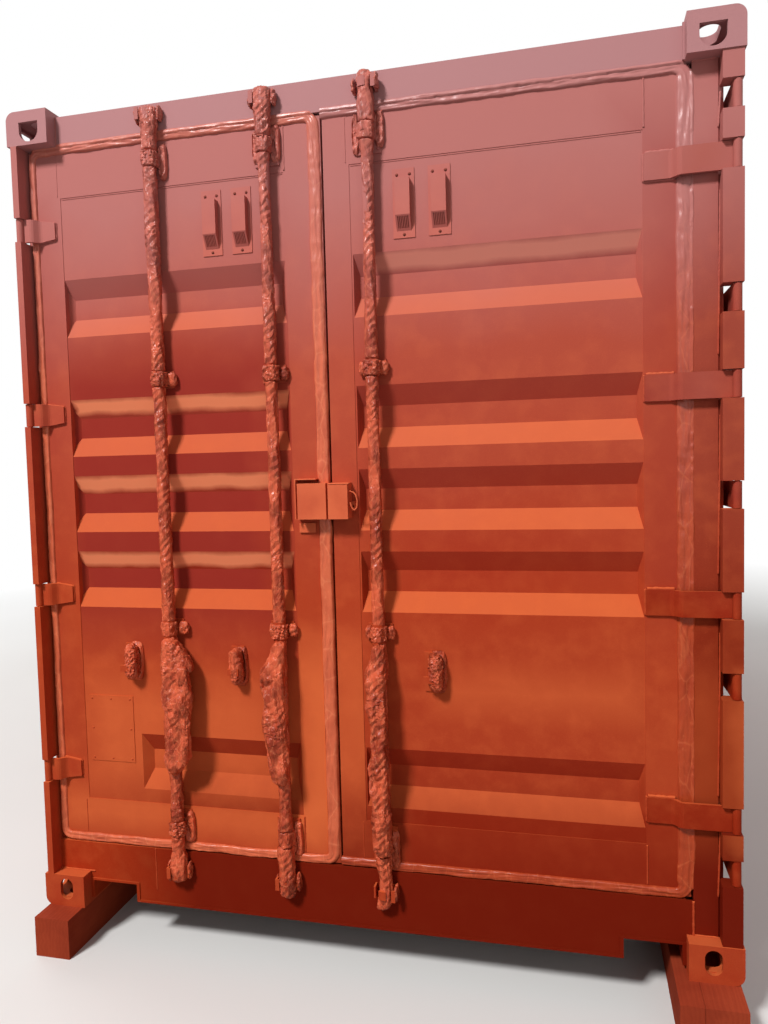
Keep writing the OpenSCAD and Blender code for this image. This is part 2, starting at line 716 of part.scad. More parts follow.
module left_door_stiles() color(steel) raised() translate([0, door_y, 0])
    stiles(l_x0, l_x1, stile_w, mid_stile_w);
module left_door_rails() color(steel) raised() translate([0, door_y, 0])
    rails(l_x0 + stile_w, l_x1 - mid_stile_w);
module left_door_panel() color(steel) raised() translate([0, panel_y, 0])
    panel(l_x0 + stile_w, l_x1 - mid_stile_w, l_x0 + stile_w - band_under,
        l_x1 - mid_stile_w - 4, plate_x + plate_w/2 + 30, band_end, 24, 28);
module left_door_gasket() color(rubber_red) raised() translate([0, door_y, 0])
    gasket(l_x0, l_x1, gasket_w, gasket_mid);
module left_door_hinges() color(steel) raised() translate([-pin_x, pin_y, 0]) {
    reach = left_edge - pin_in + reach_left;
    difference() {
        blades(left_edge - pin_in, door_d - pin_in, reach, end_zs);
        for (z = end_zs, m = [0, 1]) translate([0, -50, z]) mirror([0, 0, m]) rotate([-90, 0, 0])
            linear_extrude(150) polygon([[left_edge - pin_in, -hinge_h/2], [reach + 1, -hinge_end_h/2],
                [reach + 1, -hinge_h], [left_edge - pin_in, -hinge_h]]);
    }
}

module right_door_stiles() color(steel) raised() translate([0, door_y, 0])
    stiles(r_x0, r_x1, mid_stile_w, stile_w);
module right_door_rails() color(steel) raised() translate([0, door_y, 0])
    rails(r_x0 + mid_stile_w, r_x1 - stile_w);
module right_door_panel() color(steel) raised() translate([0, panel_y, 0])
    panel(r_x0 + mid_stile_w, r_x1 - stile_w, r_x0 + mid_stile_w + 6, r_x1 - stile_w - 2,
        r_x0 + mid_stile_w + 6, 14, 16, 14);
module right_door_gasket() color(rubber_red) raised() translate([0, door_y, 0]) {
    bx([r_x1, 0, leaf_bottom - gasket_w], [r_x1 + gasket_right, gasket_t, leaf_top + gasket_top]);
    bx([r_x0, 0, leaf_bottom - gasket_w], [r_x1 - 0.5, gasket_t, leaf_bottom]);
    bx([r_x0, 0, leaf_top], [r_x1 - 0.5, gasket_t, leaf_top + gasket_top]);
}
module right_door_hinges() color(steel) raised() translate([pin_x, pin_y, 0])
    mirror([1, 0, 0]) blades(right_edge - pin_in, door_d - pin_in, right_edge - pin_in + reach_right,
        end_zs);

// rod bracket: foot plate at depth f on the leaf, guide ring round the rod; origin on the rod axis
module rod_bracket(h, f) {
    bx([-42, f - 6, -h/2], [42, f, h/2]);
    translate([0, 0, -20]) difference() {
        union() {
            cylinder(r = rod_r + 7, h = 40);
            bx([-rod_r - 7, 0, 0], [rod_r + 7, f - 6, 40]);
        }
        translate([0, 0, -1]) cylinder(r = rod_r + rod_gap, h = 42);
    }
}
module bracket_column() for (i = [0:3]) translate([0, 0, bracket_zs[i]])
    rod_bracket(i == 0 || i == 3 ? 120 : 60, door_d - rod_d + (i == 0 || i == 3 ? 0 : panel_in));
// handle catch beside a rod, towards s: foot plate, shelf and lip
module catch_plate(s) {
    f = door_d - rod_d + panel_in;
    translate([s*catch_x, 0, 0]) {
        bx([-24, f - 5, -66], [24, f, 66]);
        bx([-20, -handle_t/2 - 14, -handle_w/2 - 15], [20, f - 5, -handle_w/2 - 6]);
        bx([-20, -handle_t/2 - 14, -handle_w/2 - 15], [20, -handle_t/2 - 6, -handle_w/2 + 8]);
    }
}
module left_door_brackets() color(steel) raised() for (i = [0, 1])
    translate([rods_x[i], rod_y, 0]) {
        bracket_column();
        translate([0, 0, handle_z]) catch_plate(rods_s[i]);
    }
module right_door_brackets() color(steel) raised() translate([rods_x[2], rod_y, 0]) {
    bracket_column();
    translate([0, 0, handle_z]) catch_plate(rods_s[2]);
}

// ventilator hood, upright in front and sloping back below; e is how much smaller it is
module vent_hood(e) {
    y1 = panel_in - 3;
    low = -vent_h/2 + 22 + 2*e;
    knee = -vent_h/2 + 68 + 0.4*e;
    rotate([90, 0, 90]) translate([0, 0, e - vent_hood_w/2]) linear_extrude(vent_hood_w - 2*e)
        polygon([[y1, vent_h/2 - 37 - e], [e - vent_out, vent_h/2 - 37 - e],
            [e - vent_out, knee], [y1, low]]);
}
// ventilator with its plate on the panel and upright slots in the slope of its hood
module vent() {
    bx([-vent_w/2, panel_in - 3, -vent_h/2], [vent_w/2, panel_in, vent_h/2]);
    difference() {
        vent_hood(0);
        vent_hood(3);
        for (i = [-3:3]) translate([i*(vent_hood_w - 10)/7, 0, 0])
            bx([-1.5, -vent_out - 1, -vent_h/2 + 30], [1.5, -3, -vent_h/2 + 64]);
    }
}
module left_door_vents() color(steel) raised()
    for (k = [0, 1]) translate([l_x1 - mid_stile_w - vent_left - k*vent_left_pitch, door_y, vent_z])
        vent();
module right_door_vents() color(steel) raised()
    for (k = [0, 1]) translate([r_x0 + mid_stile_w + vent_right + k*vent_right_pitch, door_y, vent_z])
        vent();
module data_plate() color(dark_red) raised()
    bx([plate_x - plate_w/2, panel_y - 2.5, plate_z - plate_h/2],
        [plate_x + plate_w/2, panel_y, plate_z + plate_h/2]);

// lock box shell from x0 to x1 on the door face, open below and behind
module lock_shell(x0, x1) translate([0, door_y, 0]) difference() {
    bx([x0, -box_out, box_z - box_h/2], [x1, 0, box_z + box_h/2]);
    bx([x0 + 4, -box_out + 4, box_z - box_h/2 - 1], [x1 - 4, 1, box_z + box_h/2 - 4]);
}
module lock_box_socket() color(steel) raised() {
    z0 = box_z - box_h/2;
    z1 = box_z + box_h/2;
    x0 = -box_left - 15;
    lock_shell(-box_left, r_x0 - mid_gap);
    bx([x0, door_y - 40, z0], [x0 + 4, door_y, z1 + 16]);
    bx([x0, door_y - 40, z1 + 12], [x0 + 76, door_y, z1 + 16]);
    bx([-box_left - 12, door_y - 8, z0 - 48], [-box_left + 46, door_y, z0 - 16]);
}
module lock_box() color(steel) raised() {
    lock_shell(r_x0, box_right);
    translate([box_right, door_y - 14, box_z - 20]) difference() {
        bx([0, 0, -16], [14, 14, 16]);
        translate([7, -1, 0]) rotate([-90, 0, 0]) cylinder(r = 4, h = 16);
    }
}

module cylinder_z(r, z0, z1) translate([0, 0, z0]) cylinder(r = r, h = z1 - z0);
// plan of a cam at rest whose rod locks by turning towards s
module cam_plan(s) mirror([s < 0 ? 1 : 0, 0, 0]) intersection() {
    circle(r = cam_l);
    polygon([[0, 0], [-2*cam_l, -2*cam_l], [2*cam_l*cos(75), -2*cam_l*sin(75)]]);
}
// lock rod with its two cams, its collars and the fork of the handle; origin on its axis
module lock_rod(s) {
    cylinder_z(rod_r, cam_low_z - cam_h/2 - 8, cam_top_z + cam_h/2 + 8);
    for (z = [cam_low_z, cam_top_z]) slab_z(z - cam_h/2, z + cam_h/2) cam_plan(s);
    for (z = [bracket_zs[1] + 21, bracket_zs[1] - 33]) cylinder_z(rod_r + 5, z, z + 12);
    for (k = [-1, 1]) translate([k*(handle_t/2 + 3.5), 0, handle_z])
        bx([-2.5, -pivot_out - 14, -16], [2.5, 0, 16]);
    translate([-handle_t/2 - 6, -pivot_out, handle_z]) rotate([0, 90, 0])
        cylinder(r = handle_pin_r, h = handle_t + 12);
}
module lock_rod_1() color(steel) raised() translate([rod_1_x, rod_y, 0]) lock_rod(-1);
module lock_rod_2() color(steel) raised() translate([rod_2_x, rod_y, 0]) lock_rod(-1);
module lock_rod_3() color(steel) raised() translate([rod_3_x, rod_y, 0]) lock_rod(1);

// handle hanging from its pin; origin on the rod axis at the height of the pin
module handle() translate([0, -pivot_out, 0]) difference() {
    union() {
        rotate([0, 90, 0]) translate([0, 0, -handle_t/2]) cylinder(r = handle_w/2, h = handle_t);
        bx([-handle_t/2, -handle_w/2, -handle_l + handle_w/2], [handle_t/2, handle_w/2, 0]);
        translate([0, 0, -handle_l + handle_w/2]) rotate([0, 90, 0])
            translate([0, 0, -handle_t/2]) cylinder(r = handle_w/2, h = handle_t);
    }
    rotate([0, 90, 0]) translate([0, 0, -handle_t]) cylinder(r = handle_pin_r + 0.3, h = 2*handle_t);
}
module handle_1() color(steel) raised() translate([rod_1_x, rod_y, handle_z]) handle();
module handle_2() color(steel) raised() translate([rod_2_x, rod_y, handle_z]) handle();
module handle_3() color(steel) raised() translate([rod_3_x, rod_y, handle_z]) handle();

// the side leaves are drawn in the plane of the end doors and turned to the right side,
// where X runs along the container
module on_side() translate([hx, 0, 0]) rotate([0, 0, 90]) children();
module side_leaves() on_side() translate([0, door_d, 0]) for (i = [0:3])
    translate([side_ys[i], 0, 0]) children();
module side_door_stiles() color(steel) raised() side_leaves()
    stiles(0, side_leaf, mid_stile_w, mid_stile_w);
module side_door_rails() color(steel) raised() side_leaves()
    rails(mid_stile_w, side_leaf - mid_stile_w);
module side_door_panels() color(steel) raised() side_leaves() translate([0, panel_in, 0])
    panel(mid_stile_w, side_leaf - mid_stile_w, mid_stile_w + 4, side_leaf - mid_stile_w - 4,
        mid_stile_w + 4, 14, 14, 14);
module side_door_gaskets() color(rubber_red) raised() on_side() translate([0, door_d, 0]) {
    for (x = [side_y0 - gasket_right, side_y1])
        bx([x, 0, leaf_bottom - gasket_w], [x + gasket_right, gasket_t, leaf_top + gasket_top]);
    for (i = [0:2]) bx([side_ys[i] + side_leaf, 0, leaf_bottom + 0.5],
        [side_ys[i + 1], gasket_t, leaf_top - 0.5]);
    for (z = [[leaf_bottom - gasket_w, leaf_bottom], [leaf_top, leaf_top + gasket_top]])
        bx([side_y0 + 0.5, 0, z[0]], [side_y1 - 0.5, gasket_t, z[1]]);
}
module side_door_hinges() color(steel) raised() {
    for (my = [0, 1]) mirror([0, my, 0]) translate([pin_x, pin_y, 0]) rotate([0, 0, 90])
        blades(right_edge - pin_in, door_d - pin_in, right_edge - pin_in + reach_right, side_zs);
    on_side() translate([0, door_d, 0]) for (i = [0, 2], z = side_zs)
        translate([side_ys[i] + side_leaf + fold_gap/2, 0, z]) {
            bx([-fold_plate, -8, -hinge_h/2], [fold_plate, 0, hinge_h/2]);
            translate([0, -12, -hinge_h/2]) cylinder(r = 12, h = hinge_h);
        }
}
module side_door_rods() color(steel) raised() side_rod_places() rotate([0, 0, 90]) lock_rod(1);
module side_door_handles() color(steel) raised() side_rod_places()
    translate([0, 0, handle_z]) rotate([0, 0, 90]) translate([0, -pivot_out, 0])
        rotate([-90, 0, 0]) translate([0, pivot_out, 0]) handle();
module side_door_brackets() color(steel) raised() side_rod_places() {
    bracket_column();
    translate([0, 0, handle_z]) catch_plate(1);
}

top_corner_castings();
bottom_corner_castings();
front_left_post();
front_right_post();
rear_left_post();
rear_right_post();
door_header();
door_sill();
rear_end_rails();
top_side_rails();
bottom_side_rails();
left_wall();
rear_wall();
roof();
floor_board();
cross_members();
fork_pockets();
hinge_pins();
cam_keepers();
side_door_stiles();
side_door_rails();
side_door_panels();
side_door_gaskets();
side_door_hinges();
side_door_rods();
side_door_handles();
side_door_brackets();
support_blocks();
left_door_stiles();
left_door_rails();
left_door_panel();
left_door_gasket();
left_door_hinges();
left_door_brackets();
left_door_vents();
data_plate();
lock_box_socket();
right_door_stiles();
right_door_rails();
right_door_panel();
right_door_gasket();
right_door_hinges();
right_door_brackets();
right_door_vents();
lock_box();
lock_rod_1();
lock_rod_2();
lock_rod_3();
handle_1();
handle_2();
handle_3();
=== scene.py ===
"""Shipping container with end doors, freshly sprayed oxide red: looks, masking film and stage.

Everything is in metres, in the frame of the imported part: the end doors face -Y, the folding
side doors face +X and the ground is at z = 0.
"""

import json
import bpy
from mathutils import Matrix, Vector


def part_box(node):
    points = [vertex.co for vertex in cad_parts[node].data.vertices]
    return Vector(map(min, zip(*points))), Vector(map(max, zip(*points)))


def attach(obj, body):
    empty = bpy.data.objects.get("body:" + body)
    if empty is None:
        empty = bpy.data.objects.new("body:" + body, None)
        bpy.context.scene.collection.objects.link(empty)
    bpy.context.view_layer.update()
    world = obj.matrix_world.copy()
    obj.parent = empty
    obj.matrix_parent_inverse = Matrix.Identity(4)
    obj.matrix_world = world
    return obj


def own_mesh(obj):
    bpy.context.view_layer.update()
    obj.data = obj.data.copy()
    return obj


bl_info = {
    "name": "Sprayed shipping container",
    "version": (1, 0, 0),
    "blender": (4, 5, 0),
    "location": "View3D > Sidebar > Container",
    "description": "Paint, masking film, tape, welds and stage of a shipping container",
    "category": "Object",
}

import bpy
import numpy as np
from mathutils import Matrix, Vector

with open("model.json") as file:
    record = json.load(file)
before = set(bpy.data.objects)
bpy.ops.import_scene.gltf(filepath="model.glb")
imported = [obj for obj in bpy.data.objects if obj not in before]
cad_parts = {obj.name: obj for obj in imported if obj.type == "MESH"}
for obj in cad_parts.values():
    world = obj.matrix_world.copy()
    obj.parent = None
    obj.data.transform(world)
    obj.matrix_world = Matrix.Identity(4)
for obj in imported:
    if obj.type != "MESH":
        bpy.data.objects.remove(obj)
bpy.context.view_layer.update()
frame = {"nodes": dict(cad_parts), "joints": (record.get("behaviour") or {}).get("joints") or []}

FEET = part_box("support_blocks")[1].z
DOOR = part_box("left_door_stiles")[0].y
FRAME = DOOR - 0.0095  # half a millimetre before the faces of header and posts
JOINTS = {joint["name"]: joint for joint in frame["joints"]}
RODS = [Vector(JOINTS[f"rod_{i}_turn"]["pos_m"]) for i in (1, 2, 3)]
PIVOTS = [Vector(JOINTS[f"lever_{i}_lift"]["pos_m"]) for i in (1, 2, 3)]
DOORS = LEFT, RIGHT = "left_door", "right_door"
ROD_DOORS = (LEFT, LEFT, RIGHT)


def height(millimetres):
    """Height of a point given in millimetres above the feet of the castings."""
    return FEET + millimetres / 1000


# ---------------------------------------------------------------- sizes and colours


class PaintSettings(bpy.types.PropertyGroup):
    """Colours of the sprayed steel."""

    coat: bpy.props.FloatVectorProperty(
        name="Coat", description="Full coat of oxide red", subtype="COLOR",
        default=(0.420, 0.058, 0.019), min=0, max=1)
    # thin coat: dry orange spray, and painted sky light on faces that look up
    thin: bpy.props.FloatVectorProperty(
        name="Thin coat and painted light", description="Dry orange spray in spray fans, and painted sky light on faces that look up",
        subtype="COLOR", default=(0.740, 0.155, 0.046), min=0, max=1)
    # deep coat: redder paint, and painted shade on faces that look down
    deep: bpy.props.FloatVectorProperty(
        name="Deep coat and painted shade", description="Redder paint in clouds and runs, and painted shade on faces that look down",
        subtype="COLOR", default=(0.330, 0.020, 0.008), min=0, max=1)
    ruby: bpy.props.FloatVectorProperty(
        name="Ruby coat", description="Dark red paint in the middle of the leaves",
        subtype="COLOR", default=(0.250, 0.021, 0.016), min=0, max=1)
    # dark red that some finishes lay low down, below a ragged line
    low_dark: bpy.props.FloatVectorProperty(
        name="Low dark coat", description="Dark red low down",
        subtype="COLOR", default=(0.150, 0.009, 0.003), min=0, max=1)
    # painted haze: pale pink high up, for the glare of a bright sky, partly dry pale paint
    chalk_and_haze: bpy.props.FloatVectorProperty(
        name="Chalky coat and painted haze", description="Dry pale paint and painted haze high up", subtype="COLOR",
        default=(0.425, 0.158, 0.146), min=0, max=1)
    old: bpy.props.FloatVectorProperty(
        name="Old paint", description="Pale paint that shows under a thin coat",
        subtype="COLOR", default=(1.000, 0.310, 0.150), min=0, max=1)
    peel: bpy.props.FloatProperty(
        name="Orange peel", description="Strength of the texture left by the spray gun",
        default=0.16, min=0, max=1, subtype="FACTOR")


class FilmSettings(bpy.types.PropertyGroup):
    """Sizes of the masking film and the tape."""

    crumple: bpy.props.FloatProperty(
        name="Crumple", description="Depth of the folds of the film on the rods",
        default=0.0026, min=0, max=0.008, unit="LENGTH")
    bag_crumple: bpy.props.FloatProperty(
        name="Bag crumple", description="Depth of the folds of the bags",
        default=0.0065, min=0, max=0.015, unit="LENGTH")
    tape_rise: bpy.props.FloatProperty(
        name="Tape rise", description="How far the tape stands off the gasket",
        default=0.011, min=0.002, max=0.015, unit="LENGTH")
    shine: bpy.props.FloatProperty(
        name="Shine", description="Roughness of the film under its paint",
        default=0.30, min=0.1, max=0.8, subtype="FACTOR")


class StageSettings(bpy.types.PropertyGroup):
    """Light, floor and camera."""

    sky: bpy.props.FloatProperty(
        name="Sky", description="Strength of the even light from all sides",
        default=0.22, min=0, max=5)
    key: bpy.props.FloatProperty(
        name="Key light", description="Power of the soft light from the upper left front",
        default=1870, min=0, max=5000, unit="POWER")
    fill: bpy.props.FloatProperty(
        name="Fill lights", description="Power of the soft lights at the sides and the rear",
        default=220, min=0, max=5000, unit="POWER")
    lens: bpy.props.FloatProperty(
        name="Lens", description="Focal length on a 36 mm high image",
        default=27.46, min=10, max=100)


# ---------------------------------------------------------------- shader groups


class Wire:
    """A node's output to reckon with: each sum, product or quotient adds one maths node."""

    def __init__(self, tree, socket):
        self.tree, self.socket = tree, socket

    def __add__(self, other):
        return maths("ADD", self, other)

    def __sub__(self, other):
        return maths("SUBTRACT", self, other)

    def __rsub__(self, other):
        return maths("SUBTRACT", other, self)

    def __mul__(self, other):
        return maths("MULTIPLY", self, other)

    def __truediv__(self, other):
        return maths("DIVIDE", self, other)


def wire(tree, kind, output, inputs=None, **settings):
    """Adds a node with its settings and gives one output; inputs are values or wires."""
    node = tree.nodes.new(kind)
    for key, value in settings.items():
        setattr(node, key, value)
    for key, value in (inputs or {}).items():
        if isinstance(value, Wire):
            tree.links.new(value.socket, node.inputs[key])
        else:
            node.inputs[key].default_value = value
    return Wire(tree, node.outputs[output])


def maths(operation, first, second=0.0):
    """Two values, at least one of them a wire, put through a maths node."""
    tree = (first if isinstance(first, Wire) else second).tree
    return wire(tree, "ShaderNodeMath", 0, {0: first, 1: second}, operation=operation)


def part(vector, axis):
    """One coordinate of a vector."""
    return wire(vector.tree, "ShaderNodeSeparateXYZ", axis, {0: vector})


def place(tree, scale=(1, 1, 1)):
    """Object coordinates, stretched."""
    spot = wire(tree, "ShaderNodeTexCoord", "Object")
    return wire(tree, "ShaderNodeMapping", "Vector", {"Vector": spot, "Scale": scale})


def noise(where, scale, detail=3.0, roughness=0.5):
    """Value of a noise texture."""
    return wire(where.tree, "ShaderNodeTexNoise", "Fac", {
        "Vector": where, "Scale": scale, "Detail": detail, "Roughness": roughness})


def remap(value, low, high, start=0.0, end=1.0):
    """Value carried from low..high to start..end, held at both ends."""
    return wire(value.tree, "ShaderNodeMapRange", "Result", {
        "Value": value, "From Min": low, "From Max": high, "To Min": start, "To Max": end})


def blend(amount, first, second):
    """Two colours mixed by an amount."""
    return wire(amount.tree, "ShaderNodeMix", 2, {0: amount, 6: first, 7: second},
                data_type="RGBA")


def lean(tree):
    """Z of the surface normal: 1 on faces that look up, -1 on those that look down."""
    return part(wire(tree, "ShaderNodeNewGeometry", "Normal"), "Z")


def new_group(name, inputs, outputs=("Color", "Roughness", "Height")):
    """Starts a node group: its tree and its inputs as wires. Colours are those of four values."""
    tree = bpy.data.node_groups.new(name, "ShaderNodeTree")
    for socket, default in inputs.items():
        kind = "NodeSocketColor" if isinstance(default, tuple) else "NodeSocketFloat"
        made = tree.interface.new_socket(socket, in_out="INPUT", socket_type=kind)
        made.default_value = default
    for socket in outputs:
        kind = "NodeSocketColor" if socket == "Color" else "NodeSocketFloat"
        tree.interface.new_socket(socket, in_out="OUTPUT", socket_type=kind)
    given = tree.nodes.new("NodeGroupInput").outputs
    return tree, {socket: Wire(tree, given[socket]) for socket in inputs}


def close_group(tree, results):
    """Links the results to the group's outputs by name."""
    out = tree.nodes.new("NodeGroupOutput")
    for key, result in results.items():
        tree.links.new(result.socket, out.inputs[key])
    return tree


CHALK_AND_HAZE_HEIGHTS = (1.3, 2.1, 2.75)  # m: where the painted haze and pale paint start, where they thicken, where they are full


def chalk_and_haze_group():
    """Any coat turned pale pink with height along a drifting edge: painted haze, partly dry pale
    paint.
    """
    tree, given = new_group("Chalk and painted haze with height", {
        "Color": (0.4, 0.06, 0.03, 1), "Chalk_And_Haze": (0.5, 0.18, 0.17, 1), "Amount": 1.0}, ("Color",))
    where = place(tree)
    tall = part(where, "Z") + (noise(where, 1.3) - 0.5) * 0.5
    start, middle, full = CHALK_AND_HAZE_HEIGHTS
    amount = remap(tall, start, middle, 0.0, 0.18) + remap(tall, middle, full, 0.0, 0.72)
    return close_group(tree, {
        "Color": blend(amount * given["Amount"], given["Color"], given["Chalk_And_Haze"])})


def chalked_and_hazed(chalk_and_haze_tree, color, given):
    """The colour of a coat after the painted haze and the dry pale paint."""
    return wire(color.tree, "ShaderNodeGroup", "Color", {
        "Color": color, "Chalk_And_Haze": given["Chalk_And_Haze"], "Amount": given["Chalk and haze amount"],
    }, node_tree=chalk_and_haze_tree)


def sprayed_coat_group(chalk_and_haze_tree):
    """Spray paint: faint clouds, runs, paler orange on faces that look up (painted light, partly
    dry spray), redder painted shade below.
    """
    tree, given = new_group("Sprayed coat", {
        "Coat": (0.44, 0.07, 0.03, 1), "Thin": (0.64, 0.14, 0.05, 1),
        "Deep": (0.35, 0.03, 0.02, 1), "Low_Dark": (0.15, 0.01, 0.003, 1),
        "Chalk_And_Haze": (0.5, 0.18, 0.17, 1), "Cloud": 1.6, "Dust and sky light": 0.6, "Grain": 1.0,
        "Low dark amount": 0.0, "Low dark from": 0.55, "Low dark span": 0.15, "Chalk and haze amount": 1.0})
    where = place(tree)
    mottle = noise(where, 15.0)
    runs = noise(place(tree, (16, 16, 0.9)), 1.0, 3.0, 0.6)
    peel = noise(where, 190.0, 2.0)
    grain = noise(where, 620.0, 2.0, 0.6)
    # masks of the faces that look up and down, for painted light and painted shade
    up = remap(lean(tree), 0.12, 0.6)
    down = remap(lean(tree) * -1.0, 0.12, 0.6)
    color = given["Coat"]
    for amount, coat in ((remap(noise(where, given["Cloud"], 4.0), 0.32, 0.68, 0.0, 0.42), "Deep"),
                         (remap(mottle, 0.45, 0.75, 0.0, 0.16), "Thin"),
                         (remap(runs, 0.54, 0.74, 0.0, 0.12), "Deep"),
                         # painted sky light with some dust: faces that look up turn paler orange;
                         # painted shade: faces that look down turn redder
                         (up * given["Dust and sky light"], "Thin"), (down * 0.85, "Deep"),
                         (remap(grain, 0.60, 0.74, 0.0, 0.35) * given["Grain"], "Thin")):
        color = blend(amount, color, given[coat])
    color = chalked_and_hazed(chalk_and_haze_tree, color, given)
    # darker red towards the bottom below a ragged line, fading out towards the far left
    ragged = (mottle - 0.5) * 0.10
    below = (given["Low dark from"] - (part(where, "Z") + ragged)) / given["Low dark span"]
    reach = remap(part(where, "X") + ragged, -1.02, -0.62)
    color = blend(remap(below, 0.0, 1.0) * reach * given["Low dark amount"], color, given["Low_Dark"])
    return close_group(tree, {
        "Color": color, "Roughness": remap(mottle, 0.3, 0.7, 0.44, 0.56) + up * 0.14,
        "Height": peel * 0.6 + grain * 0.4})


def patch_group():
    """Mask of a box with soft, ragged edges."""
    tree, given = new_group("Thin patch", {
        "Left": 0.0, "Right": 1.0, "Low": 0.0, "High": 1.0, "Edge": 0.03}, ("Mask",))
    where = place(tree)
    ragged = (noise(where, 7.0, 4.0) - 0.5) * 0.12
    x, z = part(where, "X") + ragged, part(where, "Z") + ragged * 0.25
    inside = x - given["Left"]
    for other in (given["Right"] - x, z - given["Low"], given["High"] - z):
        inside = maths("MINIMUM", inside, other)
    return close_group(tree, {"Mask": remap(inside / given["Edge"], 0.0, 1.0)})


# triangle waves that crease the film: turn, scale, share of the facets; the last only in zones
FILM_WAVES = (((0.5, 0.2, 0.4), 8.0, 1.0), ((-0.7, 0.6, 1.1), 12.0, 0.8),
              ((1.2, -0.4, 2.0), 22.0, 0.5))


def creased_film_group(chalk_and_haze_tree):
    """Painted film: fine creases, darker blotches partly for painted shade, pale creases and specks
    as painted glints.
    """
    tree, given = new_group("Creased film", {
        "Coat": (0.4, 0.08, 0.03, 1), "Thin": (0.7, 0.25, 0.1, 1), "Deep": (0.15, 0.02, 0.01, 1),
        "Chalk_And_Haze": (0.5, 0.18, 0.17, 1), "Scale": 40.0, "Blotches and shade": 0.6, "Facets": 3.0,
        "Chalk and haze amount": 0.6})
    where = place(tree, (1.0, 1.0, 0.55))
    bent = wire(tree, "ShaderNodeTexNoise", "Color", {
        "Vector": where, "Scale": 14.0, "Detail": 2.0})
    warp = wire(tree, "ShaderNodeVectorMath", 0, {0: bent, 1: (0.02, 0.02, 0.02)},
                operation="MULTIPLY")
    warped = wire(tree, "ShaderNodeVectorMath", 0, {0: where, 1: warp}, operation="ADD")
    crease = remap(wire(tree, "ShaderNodeTexVoronoi", "Distance", {
        "Vector": warped, "Scale": given["Scale"]}, feature="DISTANCE_TO_EDGE"), 0.0, 0.16)
    fine = noise(warped, 120.0, 3.0, 0.6)
    cloud = noise(where, 16.0, 4.0, 0.6)
    color = given["Coat"]
    # darker blotches at random, partly painted shade; pale lines along the creases and pale specks:
    # painted glints
    for amount, coat in ((remap(cloud, 0.44, 0.64) * given["Blotches and shade"], "Deep"),
                         (remap(crease, 0.25, 0.0, 0.0, 0.30), "Thin"),
                         (remap(fine, 0.58, 0.74, 0.0, 0.35), "Thin")):
        color = blend(amount, color, given[coat])
    tall = crease * 0.5 + fine * 0.4
    zone = remap(noise(where, 9.0, 2.0), 0.42, 0.60, 0.15, 1.0)
    for (turn, scale, share), where_strong in zip(FILM_WAVES, (1.0, 1.0, zone)):
        turned = wire(tree, "ShaderNodeMapping", "Vector", {"Vector": warped, "Rotation": turn})
        ridge = wire(tree, "ShaderNodeTexWave", "Fac", {
            "Vector": turned, "Scale": scale, "Distortion": 2.5, "Detail": 1.0,
            "Detail Scale": 1.5}, wave_type="BANDS", wave_profile="TRI")
        tall = tall + ridge * (given["Facets"] * share * where_strong)
    return close_group(tree, {"Color": chalked_and_hazed(chalk_and_haze_tree, color, given), "Height": tall,
                              "Roughness": remap(cloud, 0.3, 0.7, 0.16, 0.42)})


def wood_group():
    """Timber: rings and fibres stretched along Y, saw marks across it, dark stains."""
    tree, given = new_group("Sawn timber", {
        "Early": (0.4, 0.2, 0.1, 1), "Late": (0.15, 0.07, 0.03, 1), "Figure": 1.0})
    rings = wire(tree, "ShaderNodeTexWave", "Fac", {
        "Vector": place(tree, (1.0, 0.06, 1.0)), "Scale": 22.0, "Distortion": 7.0, "Detail": 3.0,
        "Detail Scale": 1.4}, wave_type="RINGS", rings_direction="Y")
    fibre = noise(place(tree, (1.0, 0.03, 1.0)), 330.0, 3.0, 0.6)
    saw = noise(place(tree, (0.1, 1.0, 0.1)), 90.0, 2.0)
    color = given["Early"]
    for amount in (rings * given["Figure"], remap(fibre, 0.45, 0.7, 0.0, 0.5) * given["Figure"],
                   remap(noise(place(tree), 7.0, 4.0, 0.6), 0.42, 0.66, 0.0, 0.45)):
        color = blend(amount, color, given["Late"])
    return close_group(tree, {"Color": color, "Roughness": remap(fibre, 0.3, 0.7, 0.6, 0.85),
                              "Height": fibre * 0.6 + saw * 0.5})


# ---------------------------------------------------------------- materials

# a greyer pink laid more strongly: painted haze high up on the header and castings
GREY = {"Chalk_And_Haze": (0.41, 0.195, 0.198), "Chalk and haze amount": 1.08}
DIM = {"Coat": (0.17, 0.035, 0.018), "Thin": (0.26, 0.07, 0.035), "Deep": (0.08, 0.018, 0.012)}
SMALL = {"Cloud": 9.0, "Dust and sky light": 0.5, "Grain": 1.2}
DARK, PALE = (0.235, 0.012, 0.003), (0.66, 0.235, 0.175)
STRIP = (0.02, "old", 0.85, "under")
